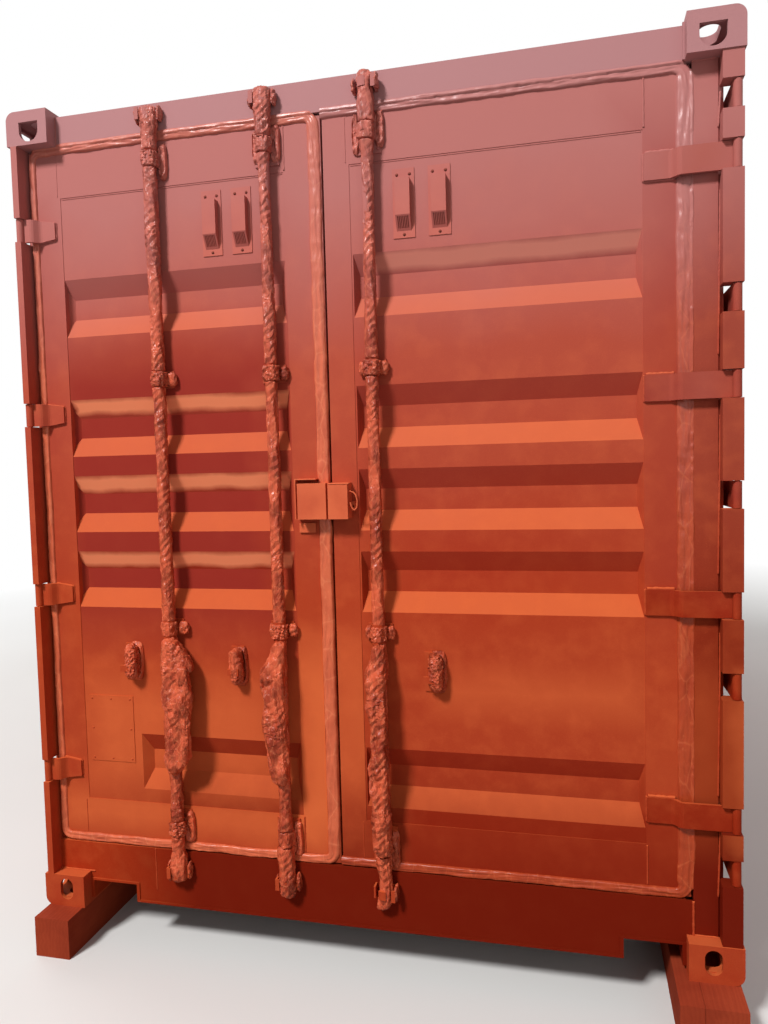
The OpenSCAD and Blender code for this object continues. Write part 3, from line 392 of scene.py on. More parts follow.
# sprayed finishes: name, what differs from the plain coat, strength of the orange peel if it
# isn't the setting, and soft boxes of other coats on the end doors: left, right, low and high
# side in m and mm, soft edge, colour, amount and the faces taken
SPRAYED = {
    "frame": ("Oxide red on the frame", {}, None),
    "header": ("Oxide red on the header", GREY | {"Dust and sky light": 0.5}, None),
    "post": ("Oxide red on the right post", {
        "Coat": (0.30, 0.040, 0.014), "Deep": (0.21, 0.011, 0.003),
        "Low dark amount": 0.95, "Low dark from": height(1350), "Low dark span": 0.9}, None,
        (0.90, 1.60, 330, 1050, 0.2, (0.50, 0.085, 0.024), 0.42, "upright"),
        (1.17, 1.60, 380, 1000, 0.06, (0.62, 0.130, 0.040), 0.38, "upright")),
    # the sill: dark red all over
    "sill": ("Dark oxide red on the sill", {
        "Coat": (0.36, 0.034, 0.008), "Dust and sky light": 0.5, "Low dark amount": 0.92, "Low dark from": 2.0}, None),
    "left leaf": ("Oxide red on the left leaf", {}, None,
                  (-1.50, -1.05, 600, 2650, 0.4, "ruby", 0.75, "upright"),
                  (-0.36, 0.25, 200, 1100, 0.22, "thin", 0.62, "upright"),
                  (-1.20, -0.10, 240, 480, 0.1, "thin", 0.45, "upright")),
    "right leaf": ("Oxide red on the right leaf", {
        "Low dark amount": 0.8, "Low dark from": height(560), "Low dark span": 0.4}, None,
        (0.80, 1.40, 950, 2750, 0.3, "ruby", 0.45, "upright"),
        (-0.2, 0.24, 420, 1100, 0.2, "thin", 0.4, "upright"),
        (0.14, 1.20, 60, 500, 0.05, DARK, 0.5, "upright")),
    "casting": ("Oxide red on cast steel", GREY | {"Cloud": 6.0, "Dust and sky light": 0.5, "Grain": 1.3}, 0.5),
    "panel": ("Oxide red on the door sheets", {
        "Cloud": 1.1, "Dust and sky light": 0.75, "Low dark amount": 0.5, "Low dark from": height(640),
        "Low dark span": 0.25}, None,
        (-1.30, -0.10, 900, 2200, 0.28, "ruby", 0.85, "upright"),
        (0.0, 1.10, 1020, 1560, 0.22, "deep", 0.35, "upright"),
        (-1.15, -0.10, 360, 950, 0.20, "thin", 0.42, "upright"),
        (0.22, 0.98, 740, 980, 0.16, "thin", 0.42, "upright"),
        (0.14, 1.20, 60, 500, 0.05, DARK, 0.6, "upright"),
        (-1.06, -0.20, 1818, 1886, *STRIP), (-1.06, -0.20, 1540, 1610, *STRIP),
        (-1.06, -0.20, 1262, 1332, *STRIP),
        (0.06, 0.98, 2247, 2318, 0.02, PALE, 0.85, "under")),
    "strap": ("Oxide red on the hinge bars", SMALL | {
        "Coat": (0.29, 0.024, 0.007), "Deep": (0.21, 0.012, 0.003), "Dust and sky light": 0.4}, 0.3,
        # paler pink high up on the straps of the right leaf: painted haze
        (0.90, 1.30, 1450, 3000, 0.25, (0.37, 0.085, 0.060), 0.75, "upright")),
    "lock box": ("Bright oxide red on the lock box",
                 SMALL | {"Coat": (0.68, 0.135, 0.050)}, 0.3),
    # ventilators: paler red than the doors
    "vent": ("Paler oxide red on the ventilators", {
        "Coat": (0.60, 0.100, 0.040), "Cloud": 9.0, "Dust and sky light": 0.5, "Chalk and haze amount": 0.85}, 0.3),
    "underside": ("Primer under the floor",
                  DIM | {"Cloud": 3.0, "Dust and sky light": 0.4, "Chalk and haze amount": 0.0}, 0.4),
    "fitting": ("Oxide red on fittings", SMALL, 0.3),
    "screw": ("Painted screws", DIM | {
        "Cloud": 9.0, "Chalk_And_Haze": (0.5, 0.18, 0.17), "Chalk and haze amount": 0.2}, 0.3),
    "gasket": ("Sprayed gasket rubber", {
        "Coat": (0.30, 0.045, 0.018), "Cloud": 12.0, "Dust and sky light": 0.3}, 0.3),
}
TAPE = {"Scale": 16.0, "Blotches and shade": 0.35, "Facets": 0.8}
TAPES = {
    # paler than the steel's coat: painted sheen of the glossy tape
    "tape": ("Painted masking tape", {
        "Coat": (0.62, 0.125, 0.052), "Thin": (0.80, 0.26, 0.12), "Deep": (0.34, 0.036, 0.014)}),
    "right tape": ("Redder masking tape", {
        "Coat": (0.40, 0.052, 0.014), "Thin": (0.62, 0.14, 0.05), "Deep": (0.24, 0.018, 0.005),
        "Chalk and haze amount": 1.15}),
}


def finish(name, group, values, bump=0.3, depth=0.001, roughness=None, coat=0.0, gloss=0.03):
    """A material whose shader takes colour, roughness and bump from one group."""
    made = bpy.data.materials.new(name)
    made.use_nodes = True
    tree = made.node_tree
    shader = tree.nodes["Principled BSDF"]
    skin = tree.nodes.new("ShaderNodeGroup")
    skin.node_tree = group
    for key, value in values.items():
        skin.inputs[key].default_value = value if isinstance(value, float) else (*value, 1.0)
    color, rough, tall = (Wire(tree, skin.outputs[key]) for key in ("Color", "Roughness", "Height"))
    if roughness is not None:
        rough = remap(rough, 0.2, 0.6, roughness - 0.1, roughness + 0.12)
    raised = wire(tree, "ShaderNodeBump", "Normal", {
        "Strength": bump, "Distance": depth, "Height": tall})
    for key, result in (("Base Color", color), ("Roughness", rough), ("Normal", raised)):
        tree.links.new(result.socket, shader.inputs[key])
    for key, value in (("Specular IOR Level", gloss), ("Coat Weight", coat),
                       ("Coat Roughness", 0.3)):
        shader.inputs[key].default_value = value
    return made


def lay_zones(made, zones, paint, patch):
    """Lays the soft boxes of other coats over a sprayed finish, each on the faces it takes."""
    shader = made.node_tree.nodes["Principled BSDF"]
    color = Wire(made.node_tree, shader.inputs["Base Color"].links[0].from_socket)
    slope = lean(made.node_tree)
    faces = {"upright": 1.0 - remap(maths("ABSOLUTE", slope), 0.2, 0.5),
             "under": remap(slope, -0.15, -0.4)}
    for left, right, low, high, edge, coat, amount, side in zones:
        mask = wire(color.tree, "ShaderNodeGroup", "Mask", {
            "Left": left, "Right": right, "Low": height(low), "High": height(high), "Edge": edge,
        }, node_tree=patch)
        coat = getattr(paint, coat) if isinstance(coat, str) else coat
        color = blend(mask * faces[side] * amount, color, (*coat, 1.0))
    made.node_tree.links.new(color.socket, shader.inputs["Base Color"])


def make_materials():
    """All finishes of the container by name, made once."""
    kept = make_materials.__dict__.setdefault("kept", {})
    if kept:
        return kept
    paint = bpy.context.scene.container_paint
    chalk_and_haze_tree, patch, wood = chalk_and_haze_group(), patch_group(), wood_group()
    spray, film = sprayed_coat_group(chalk_and_haze_tree), creased_film_group(chalk_and_haze_tree)
    plain = {key.title(): getattr(paint, key) for key in ("coat", "thin", "deep", "low_dark", "chalk_and_haze")}
    for key, (name, values, peel, *zones) in SPRAYED.items():
        kept[key] = finish(name, spray, plain | {"Cloud": 1.4} | values,
                           paint.peel if peel is None else peel,
                           depth=0.002 if key == "casting" else 0.001,
                           gloss=0.015 if key == "sill" else 0.03)
        if zones:
            lay_zones(kept[key], zones, paint, patch)
    # film: Thin is the colour of the painted glints, Deep that of the darker blotches, partly
    # painted shade
    kept["film"] = finish("Painted masking film", film, {
        "Chalk_And_Haze": paint.chalk_and_haze, "Coat": (0.60, 0.098, 0.040), "Thin": (0.95, 0.29, 0.13),
        "Deep": (0.20, 0.014, 0.005), "Blotches and shade": 0.7, "Scale": 42.0, "Facets": 6.0}, 0.7, 0.002,
        bpy.context.scene.container_film.shine, 0.15, 0.14)
    for key, (name, values) in TAPES.items():
        kept[key] = finish(name, film, {"Chalk_And_Haze": paint.chalk_and_haze} | TAPE | values, 0.35, 0.0015,
                           0.38, 0.2, 0.2)
    kept["timber"] = finish("Oversprayed timber", wood, {
        "Early": (0.34, 0.050, 0.020), "Late": (0.20, 0.024, 0.011), "Figure": 0.22}, 0.5, 0.0015)
    kept["plywood"] = finish("Floor plywood", wood, {
        "Early": (0.36, 0.22, 0.11), "Late": (0.22, 0.12, 0.055), "Figure": 1.0}, 0.35)
    return kept


# ---------------------------------------------------------------- surfaces


def grid_mesh(points, around=False, along=False, caps=False):
    """A mesh over a grid of points[i, j]; around closes j, along closes i, caps adds poles."""
    rows, columns = points.shape[:2]
    index = np.arange(rows * columns).reshape(rows, columns)
    right = np.roll(index, -1, 1) if around else index[:, 1:]
    here = index if around else index[:, :-1]
    low, low_right, high, high_right = here, right, np.roll(here, -1, 0), np.roll(right, -1, 0)
    quads = np.stack([low, low_right, high_right, high], -1)
    corners, faces = points.reshape(-1, 3), [(quads if along else quads[:-1]).reshape(-1, 4)]
    if caps:
        first, last = np.full(columns, len(corners)), np.full(columns, len(corners) + 1)
        faces.append(np.vstack([
            np.stack([first, np.roll(index[0], -1), index[0]], -1),
            np.stack([last, index[-1], np.roll(index[-1], -1)], -1)]))
        corners = np.vstack([corners, points[0].mean(0), points[-1].mean(0)])
    return corners, faces


def make_piece(name, parts, finish_name, body):
    """One smooth object from several (corners, faces) parts, riding on a body."""
    loops, sizes, start = [], [], 0
    for part_corners, part_faces in parts:
        for block in part_faces:
            loops.append((block + start).ravel())
            sizes.append(np.full(len(block), block.shape[1]))
        start += len(part_corners)
    corners = np.vstack([part_corners for part_corners, _ in parts])
    loops, sizes = np.concatenate(loops), np.concatenate(sizes)
    starts = np.concatenate([[0], np.cumsum(sizes)[:-1]])
    mesh = bpy.data.meshes.new(name)
    mesh.vertices.add(len(corners))
    mesh.vertices.foreach_set("co", corners.astype(np.float32).ravel())
    mesh.loops.add(len(loops))
    mesh.loops.foreach_set("vertex_index", loops.astype(np.int32))
    mesh.polygons.add(len(sizes))
    mesh.polygons.foreach_set("loop_start", starts.astype(np.int32))
    mesh.polygons.foreach_set("loop_total", sizes.astype(np.int32))
    mesh.polygons.foreach_set("use_smooth", np.full(len(sizes), True))
    mesh.update(calc_edges=True)
    mesh.validate()
    piece = bpy.data.objects.new(name, mesh)
    bpy.context.scene.collection.objects.link(piece)
    mesh.materials.append(make_materials()[finish_name])
    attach(piece, body)
    return piece


def angles(sides):
    """Angles of a full turn, without the last."""
    return np.linspace(0, 2 * np.pi, sides, endpoint=False)[None, :]


def squared(a, power):
    """Cosine and sine of a raised to a power with their signs kept: a superellipse."""
    return [np.sign(f) * np.abs(f) ** power for f in (np.cos(a), np.sin(a))]


def folds(x, y, z, seed, count, size, share=0.62, growth=1.17):
    """Crumple between -1 and 1: a sum of sawtooth ridges |frac(k.p + bend) - 1/2|.

    Each ridge has a seeded direction k, of length 1/size and growing, and is bent by a slow
    sine across itself, so the creases are sharp, never straight and never repeat."""
    draw = np.random.default_rng(seed)
    total, scale = 0.0, 1.0
    for n in range(count):
        k = draw.normal(size=3)
        k *= scale / size / np.linalg.norm(k)
        q = draw.normal(size=3)
        q *= 0.6 * scale / size / np.linalg.norm(q)
        bend = 0.35 * np.sin(2 * np.pi * (q[0] * x + q[1] * y + q[2] * z + draw.random()))
        phase = k[0] * x + k[1] * y + k[2] * z + draw.random() + bend
        total = total + share ** (n * 0.25) * (4 * np.abs(phase % 1.0 - 0.5) - 1)
        scale *= growth
    return total / np.sqrt(count)


def outline(rows, z, step=0.006):
    """Left, right and half depth in metres at heights z, from rows in mm, eased between rows."""
    table = np.array(rows, float)[::-1]
    at = [height(v) for v in table[:, 0]]
    near = z[:, None] + np.linspace(-2, 2, 5)[None, :] * step
    weight = np.array([1, 3, 4, 3, 1]) / 12
    return [(np.interp(near, at, table[:, k] / 1000) * weight).sum(1)[:, None] for k in (1, 2, 3)]


def film_sack(axis, rows, crumple, seed, back=None, fine=0.5, sides=64, step=0.0035,
              hollows=(), square=0.85, sheet=0.0, rim=0.012, deepest=-0.007):
    """Film round an upright axis: p = middle(z) + w(z) |cos a|^q, d(z) |sin a|^q, plus folds.

    rows give height, left, right and half depth in mm. The folds move a point along its radius:
    long creases that run nearly upright, fine crumple in zones, and broad flat facets by the
    share called sheet, none of them below deepest. rim is the length over which an end closes.
    back is the furthest reach behind the axis. hollows are dents in front: height, x, size and
    depth in mm."""
    low, high = height(rows[-1][0]), height(rows[0][0])
    z = np.linspace(low, high, max(8, int((high - low) / step)))
    left, right, deep = outline(rows, z)
    z, a = z[:, None], angles(sides)
    c, d = squared(a, square)
    middle, half = (left + right) / 2, (right - left) / 2
    x, y = axis[0] + middle + half * c, axis[1] + deep * d
    zone = np.clip(0.5 + 1.1 * folds(0 * z, 0 * z, z * 0.22, seed + 3, 4, 0.06), 0, 1)
    long = folds(x, y, z * 0.16, seed, 6, 0.034)
    cross = folds(x, y, z * 0.8, seed + 7, 5, 0.040)
    small = folds(x, y, z, seed + 1, 7, 0.014)
    broad = folds(x, y, z * 0.42, seed + 11, 3, 0.060)
    push = crumple * ((0.55 * long + 0.45 * cross) * (1 - 0.5 * sheet) + sheet * broad
                      + fine * (0.25 + zone) * small)
    push = np.maximum(push, deepest)
    ends = np.clip(np.minimum(z - low, high - z) / rim, 0, 1) ** 0.5
    x = axis[0] + middle + (half * ends + push) * c
    y = axis[1] + (deep * ends + push) * d
    for at, off, size, dent in hollows:
        far = (z - height(at)) ** 2 + (1.25 * (x - axis[0] - off / 1000)) ** 2
        far = far / (size / 1000) ** 2
        y = y + dent / 1000 * np.exp(-far ** 1.5) * (d < 0)
    if back is not None:
        y = np.minimum(y, axis[1] + back)
    z = z + crumple * 0.6 * folds(x, y, z, seed + 2, 5, 0.03) * ends
    return grid_mesh(np.stack([x, y, z + 0 * a], -1), around=True, caps=True)


def film_lump(centre, half, seed, crumple=0.004, back=np.inf):
    """Crumpled film round a small fitting: p = c + h (cos b cos a, cos b sin a, sin b) + folds."""
    b, a = np.linspace(-np.pi / 2, np.pi / 2, 22)[:, None], angles(40)
    c, d = squared(a, 0.8)
    ring = np.abs(np.cos(b)) ** 0.7
    way = [ring * c, ring * d, np.sin(b) + 0 * a]
    x, y, z = (centre[k] + half[k] * way[k] for k in range(3))
    push = crumple * (0.7 * folds(x, y, z, seed, 7, 0.026)
                      + 0.5 * folds(x, y, z, seed + 1, 6, 0.011))
    x, y, z = (v + push * w for v, w in zip((x, y, z), way))
    return grid_mesh(np.stack([x, np.minimum(y, back), z], -1), around=True, caps=True)


def film_pad(centre, half, rise, seed, rim=0.5, crumple=0.3, behind=0.003):
    """Film over an upright foot plate: p = c + t h(a), a superellipse, raised by the rim.

    The rise is rise (1 - rim + rim exp(-((t - 0.8) / 0.13)^2)) (1 - t^9), crumpled by folds;
    behind the plate the film closes again."""
    front = np.linspace(0.03, 1.0, 24)
    t = np.concatenate([front, [0.9, 0.5, 0.03]])[:, None]
    hidden = np.arange(len(t))[:, None] >= len(front)
    a = angles(80)
    c, d = squared(a, 0.62)
    wave = 1 + 0.06 * folds(0.03 * c, 0.03 * d, 0 * a, seed, 5, 0.03)
    x = centre[0] + half[0] * t * c * wave
    z = centre[2] + half[1] * t * d * (1 + 0.4 * (wave - 1))
    ridge = 1 - rim + rim * np.exp(-((t - 0.8) / 0.13) ** 2)
    fold = (0.7 * folds(x, 0 * x, z * 0.5, seed + 1, 7, 0.028)
            + 0.4 * folds(x, 0 * x, z, seed + 2, 6, 0.011))
    out = rise * ridge * (1 - t ** 9) * (1 + crumple * fold)
    y = centre[1] - np.where(hidden, -behind, out - 0.001 * t)
    return grid_mesh(np.stack([x, y, z], -1), around=True, caps=True)


def rounded_path(corners, radius, step, closed):
    """Points along a polyline with right angles whose corners are arcs."""
    def leg(start, end):
        return np.linspace(start, end, max(2, int(np.linalg.norm(end - start) / step)))[:-1]

    count = len(corners)
    w = np.linspace(0, np.pi / 2, 10)[:-1, None]
    pieces, first, last = [], None, None if closed else corners[0]
    for k in range(count) if closed else range(1, count - 1):
        u, v = corners[k - 1] - corners[k], corners[(k + 1) % count] - corners[k]
        u, v = u / np.linalg.norm(u), v / np.linalg.norm(v)
        begin = corners[k] + radius * u
        if last is None:
            first = begin
        else:
            pieces.append(leg(last, begin))
        hub = corners[k] + radius * (u + v)
        pieces.append(hub - radius * v * np.cos(w) - radius * u * np.sin(w))
        last = corners[k] + radius * v
    pieces += [leg(last, first)] if closed else [leg(last, corners[-1]), corners[-1:]]
    return np.vstack(pieces)


def tape_path(corners, widths, rise, seed, lap, closed=True, radius=0.030, step=0.0045, across=17):
    """Wrinkled tape along a path in the plane of the doors: c(s) + t w(s) n(s) + dome(s, t) out.

    The dome is rise (1 - t^6)^0.6, creased lengthwise by folds; widths are half widths of the
    legs, blended round the corners. Both edges dip behind the door's face. Past lap, which is x
    of the post and z of the header, the tape lies on the face of the frame."""
    corners = np.array(corners, float)
    path = rounded_path(corners, radius, step, closed)
    ahead = np.roll(path, -1, 0) - np.roll(path, 1, 0)
    if not closed:
        ahead[0], ahead[-1] = path[1] - path[0], path[-1] - path[-2]
    ahead /= np.linalg.norm(ahead, axis=1)[:, None]
    normal = np.stack([-ahead[:, 1], ahead[:, 0]], -1)
    legs = np.linalg.norm(np.diff(path, axis=0), axis=1)
    s = np.concatenate([[0], np.cumsum(legs)])[:, None]
    first, ends = (corners, np.roll(corners, -1, 0)) if closed else (corners[:-1], corners[1:])
    side = (ends - first)[None]
    gap = path[:, None, :] - first[None]
    along = np.clip((gap * side).sum(2) / (side ** 2).sum(2), 0, 1)
    off = np.linalg.norm(gap - along[..., None] * side, axis=2)
    share = np.exp(-(off / 0.02) ** 2) + 1e-9
    half = ((share * np.array(widths)[None]).sum(1) / share.sum(1))[:, None]
    t = np.linspace(-1, 1, across)[None, :]
    ring = s[-1] / (2 * np.pi)
    phase = s / s[-1] * 2 * np.pi
    u, v = (ring * np.cos(phase), ring * np.sin(phase)) if closed else (s, 0 * s)
    crease = folds(u * 0.10, v * 0.10, t * half, seed, 7, 0.022)
    cross = folds(u * 0.7, v * 0.7, t * half * 0.4, seed + 4, 5, 0.045)
    wander = 0.10 * half * folds(u * 0.3, v * 0.3, 0 * s, seed + 5, 4, 0.08)
    dome = rise * (1 - t ** 6) ** 0.6 * (0.76 + 0.20 * crease + 0.08 * cross) - 0.002 * t ** 6
    shift = t * half * (1 + 0.04 * cross) + wander
    flat = path[:, None, :] + shift[..., None] * normal[:, None, :]
    over = (flat[..., 0] > lap[0]) | (flat[..., 1] > lap[1])
    depth = np.where(over, np.minimum(DOOR - dome, FRAME - 0.4 * dome), DOOR - dome)
    return grid_mesh(np.stack([flat[..., 0], depth, flat[..., 1]], -1), along=closed)


def weld_bead(path, radius, seed, across=None, step=0.003, sides=7, spacing=0.004):
    """A bead along a polyline: a tube of radius r (1 + ripple), with a ripple every 4 mm.

    A path that bends in one plane gives the direction across that plane."""
    path = np.array(path, float)
    legs = np.linalg.norm(np.diff(path, axis=0), axis=1)
    far = np.concatenate([[0], np.cumsum(legs)])
    s = np.linspace(0, far[-1], max(3, int(far[-1] / step)))
    centre = np.stack([np.interp(s, far, path[:, k]) for k in range(3)], -1)
    along = np.gradient(centre, axis=0)
    along /= np.linalg.norm(along, axis=1)[:, None] + 1e-12
    if across is None:
        across = np.where(np.abs(along[:, 2:3]) > 0.9, [[1.0, 0.0, 0.0]], [[0.0, 0.0, 1.0]])
    side = np.cross(along, across)
    side /= np.linalg.norm(side, axis=1)[:, None] + 1e-12
    out = np.cross(side, along)
    draw = np.random.default_rng(seed)
    ripple = 1 + 0.22 * np.abs(np.sin(np.pi * s / spacing + draw.random())) + 0.12 * np.sin(
        2 * np.pi * s / 0.037 + draw.random() * 6)
    a = angles(sides)[..., None]
    points = centre[:, None, :] + (radius * ripple)[:, None, None] * (
        np.cos(a) * side[:, None, :] + np.sin(a) * out[:, None, :])
    return grid_mesh(points, around=True, caps=True)


def bolt_head(centre, radius, rise, sides=12):
    """A domed head facing -Y: rings of radius R cos(b) at height h sin(b), b to a right angle."""
    b, a = np.concatenate([[-0.35], np.linspace(0.0, 1.45, 4)])[:, None], angles(sides)
    ring = radius * np.cos(np.maximum(b, 0.0))
    points = np.stack([centre[0] - ring * np.cos(a), centre[1] - rise * np.sin(b) + 0 * a,
                       centre[2] + ring * np.sin(a)], -1)
    return grid_mesh(points[:, ::-1], around=True, caps=True)


# ---------------------------------------------------------------- the container's pieces

PAINTED = {
    "frame": [
        "front_left_post", "rear_left_post", "rear_right_post", "rear_end_rails",
        "top_side_rails", "bottom_side_rails", "left_wall", "rear_wall", "roof",
        "side_door_stiles", "side_door_rails",
    ],
    "header": ["door_header"],
    "left leaf": ["left_door_stiles", "left_door_rails"],
    "strap": ["right_door_hinges", "side_door_hinges"],
    "lock box": ["lock_box", "lock_box_socket"],
    "vent": ["left_door_vents", "right_door_vents"],
    "post": ["front_right_post"],
    "sill": ["door_sill"],
    "right leaf": ["right_door_stiles", "right_door_rails"],
    "panel": ["left_door_panel", "right_door_panel", "side_door_panels", "data_plate"],
    "casting": ["top_corner_castings", "bottom_corner_castings"],
    "fitting": [
        "hinge_pins", "cam_keepers", "side_door_rods", "side_door_handles", "side_door_brackets",
        "left_door_hinges", "left_door_brackets", "right_door_brackets",
        "lock_rod_1", "lock_rod_2", "lock_rod_3",
        "handle_1", "handle_2", "handle_3",
    ],
    "underside": ["cross_members", "fork_pockets"],
    "gasket": ["side_door_gaskets", "left_door_gasket", "right_door_gasket"],
    "timber": ["support_blocks"],
    "plywood": ["floor_board"],
}


class PaintSteel(bpy.types.Operator):
    """Gives every piece of the frame, doors and floor its own finish"""

    bl_idname = "container.paint_steel"
    bl_label = "Paint the steel"

    def execute(self, context):
        materials = make_materials()
        for finish_name, names in PAINTED.items():
            for name in names:
                mesh = frame["nodes"][name].data
                mesh.materials.clear()
                mesh.materials.append(materials[finish_name])
        return {"FINISHED"}


# middle heights of the end door hinges, of the rod brackets and of the cams, mm
HINGES = (511, 1170, 1829, 2488)
BRACKETS = (325, 1055, 1935, 2685)
CAMS = (165, 2834)
# film on each rod, top to bottom: height, left, right and half depth in mm from the rod's axis
ROD_FILM = (
    (
        ((2862, -22, 24, 20), (2850, -31, 31, 28), (2815, -31, 31, 29), (2790, -28, 30, 27),
         (2770, -25, 24, 24), (2709, -26, 23, 24)),
        ((2661, -24, 20, 22), (2560, -24, 21, 22), (2400, -26, 20, 23), (2300, -24, 22, 22),
         (2100, -21, 20, 20), (1959, -22, 21, 21)),
        ((1911, -22, 21, 21), (1750, -20, 20, 20), (1500, -22, 20, 21), (1250, -21, 21, 20),
         (1079, -23, 23, 22)),
        ((1031, -20, 24, 21), (1005, -16, 30, 24), (965, -18, 28, 22), (900, -19, 22, 20),
         (560, -20, 22, 20), (470, -19, 23, 20), (349, -21, 22, 21)),
        ((301, -25, 22, 22), (245, -25, 21, 22), (218, -28, 29, 27), (185, -31, 31, 30),
         (160, -31, 31, 30), (140, -28, 27, 26), (128, -22, 20, 18)),
    ), (
        ((2872, -20, 26, 20), (2856, -31, 31, 28), (2815, -31, 31, 29), (2780, -27, 24, 25),
         (2709, -25, 20, 23)),
        ((2661, -24, 20, 23), (2640, -26, 21, 24), (2625, -20, 15, 18), (2450, -18, 17, 18),
         (2250, -20, 19, 19), (2100, -19, 21, 20), (1959, -21, 20, 20)),
        ((1911, -21, 20, 20), (1750, -19, 19, 19), (1500, -21, 20, 20), (1250, -20, 20, 20),
         (1079, -22, 22, 21)),
        ((1031, -16, 22, 19), (980, -18, 20, 19), (560, -20, 20, 20), (530, -24, 20, 20),
         (420, -19, 19, 19), (385, -27, 23, 24), (349, -30, 25, 26)),
        ((301, -31, 25, 27), (200, -30, 25, 27), (180, -31, 30, 29), (150, -31, 31, 30),
         (130, -26, 28, 26), (112, -18, 22, 16)),
    ), (
        ((2878, -14, 10, 12), (2866, -24, 30, 25), (2848, -25, 31, 27), (2825, -20, 26, 24),
         (2790, -24, 29, 26), (2709, -25, 28, 26)),
        ((2661, -24, 26, 25), (2640, -24, 26, 25), (2620, -16, 22, 19), (2450, -14, 22, 18),
         (2250, -17, 21, 19), (2100, -18, 20, 19), (1959, -21, 22, 21)),
        ((1911, -21, 21, 21), (1750, -18, 20, 19), (1500, -20, 21, 20), (1250, -19, 20, 19),
         (1079, -22, 22, 21)),
        ((1031, -14, 24, 19), (980, -18, 22, 19), (560, -20, 24, 21), (420, -27, 26, 24),
         (349, -31, 26, 26)),
        ((301, -31, 25, 26), (260, -26, 25, 24), (215, -18, 24, 20), (180, -19, 28, 22),
         (150, -24, 30, 24), (125, -30, 22, 20), (104, -30, -2, 10)),
    ),
)


class WrapRods(bpy.types.Operator):
    """Wraps the three lock rods in creased film, in lengths between their brackets"""

    bl_idname = "container.wrap_rods"
    bl_label = "Wrap the lock rods"

    def execute(self, context):
        crumple = context.scene.container_film.crumple
        for i, axis in enumerate(RODS):
            lengths = []
            for k, rows in enumerate(ROD_FILM[i]):
                more, fine = (1.35, 0.8) if k in (0, len(ROD_FILM[i]) - 1) else (1.0, 0.55)
                lengths.append(film_sack(axis, rows, crumple * more, 100 * i + 10 * k, fine=fine,
                                         rim=0.006))
            make_piece(f"rod_film_{i + 1}", lengths, "film", f"rod_{i + 1}")
        return {"FINISHED"}


# film on the foot plates, mm: rod, left, right, low and high side from the axis
PLATE_FILM = ((0, 15, 56, 262, 382), (1, 18, 51, 246, 376), (2, 20, 50, 238, 372),
              (0, 18, 52, 2620, 2744), (1, 13, 50, 2632, 2758), (1, -49, -30, 2634, 2744),
              (2, 22, 56, 2640, 2762), (2, -53, -28, 2624, 2756))
# crumpled film on the middle brackets, mm: rod, bracket, middle from the axis, half width
PLATE_LUMPS = ((0, 1, 44, 19), (1, 1, 40, 19), (1, 1, -33, 11), (2, 1, 35, 17), (2, 1, -37, 13),
               (0, 2, 40, 17), (1, 2, 38, 17), (2, 2, 36, 16), (2, 2, -36, 12))
PLATE = 0.006  # thickness of a foot plate
OUTER = (0, 3)  # the lowest and the highest bracket, which are larger


class WrapBrackets(bpy.types.Operator):
    """Film round the ring of every rod bracket and over its foot plate"""

    bl_idname = "container.wrap_brackets"
    bl_label = "Wrap the brackets"

    def execute(self, context):
        film = {door: [] for door in DOORS}
        for i, axis in enumerate(RODS):
            for k, z in enumerate(BRACKETS):
                wide = 27 if k in OUTER else 26
                rows = [(z + at, less - wide, wide - less, wide - less)
                        for at, less in ((29, 2), (22, 0), (-22, 0), (-29, 2))]
                film[ROD_DOORS[i]].append(film_sack(
                    axis, rows, 0.0045, 700 + 10 * i + k, back=0.031, fine=0.9, step=0.0025,
                    rim=0.005))
        for n, (i, left, right, low, high) in enumerate(PLATE_FILM):
            centre = (RODS[i].x + (left + right) / 2000, DOOR - PLATE, height((low + high) / 2))
            film[ROD_DOORS[i]].append(film_pad(
                centre, ((right - left) / 2000, (high - low) / 2000), 0.013, 760 + 5 * n))
        for n, (i, k, middle, half) in enumerate(PLATE_LUMPS):
            centre = (RODS[i].x + middle / 1000, DOOR - PLATE - 0.004, height(BRACKETS[k]))
            film[ROD_DOORS[i]].append(film_lump(
                centre, (half / 1000, 0.013, 0.023), 860 + 3 * n, back=DOOR + 0.003))
        for door, parts in film.items():
            make_piece(f"{door}_bracket_film", parts, "film", door)
        return {"FINISHED"}


# torn film on the keepers: rod, cam, side, half width, half depth and half height in mm
KEEPER_FILM = ((0, 0, -1, 6, 20, 38), (0, 0, 1, 6, 15, 30), (1, 0, -1, 6, 19, 28),
               (1, 0, 1, 7, 17, 34), (2, 0, 1, 7, 24, 27), (0, 1, -1, 7, 22, 26),
               (0, 1, 1, 7, 17, 25), (1, 1, -1, 7, 22, 24), (1, 1, 1, 7, 17, 28),
               (2, 1, -1, 6, 17, 22), (2, 1, 1, 7, 24, 25))
KEEPER_GAP = (0.032, 0.023, 4)  # from a rod's axis to its film aside and behind, m; up or down, mm


class WrapKeepers(bpy.types.Operator):
    """Torn film round the walls of the cam keepers, clear of the turning cams"""

    bl_idname = "container.wrap_keepers"
    bl_label = "Wrap the keepers"

    def execute(self, context):
        aside, behind, up = KEEPER_GAP
        lumps = []
        for n, (i, k, side, *sizes) in enumerate(KEEPER_FILM):
            half = [size / 1000 for size in sizes]
            centre = (RODS[i].x + side * (aside + half[0]), RODS[i].y + behind - half[1],
                      height(CAMS[k] + up * side))
            lumps.append(film_lump(centre, half, 500 + 4 * n, 0.0035))
        make_piece("keeper_film", lumps, "film", "container")
        return {"FINISHED"}


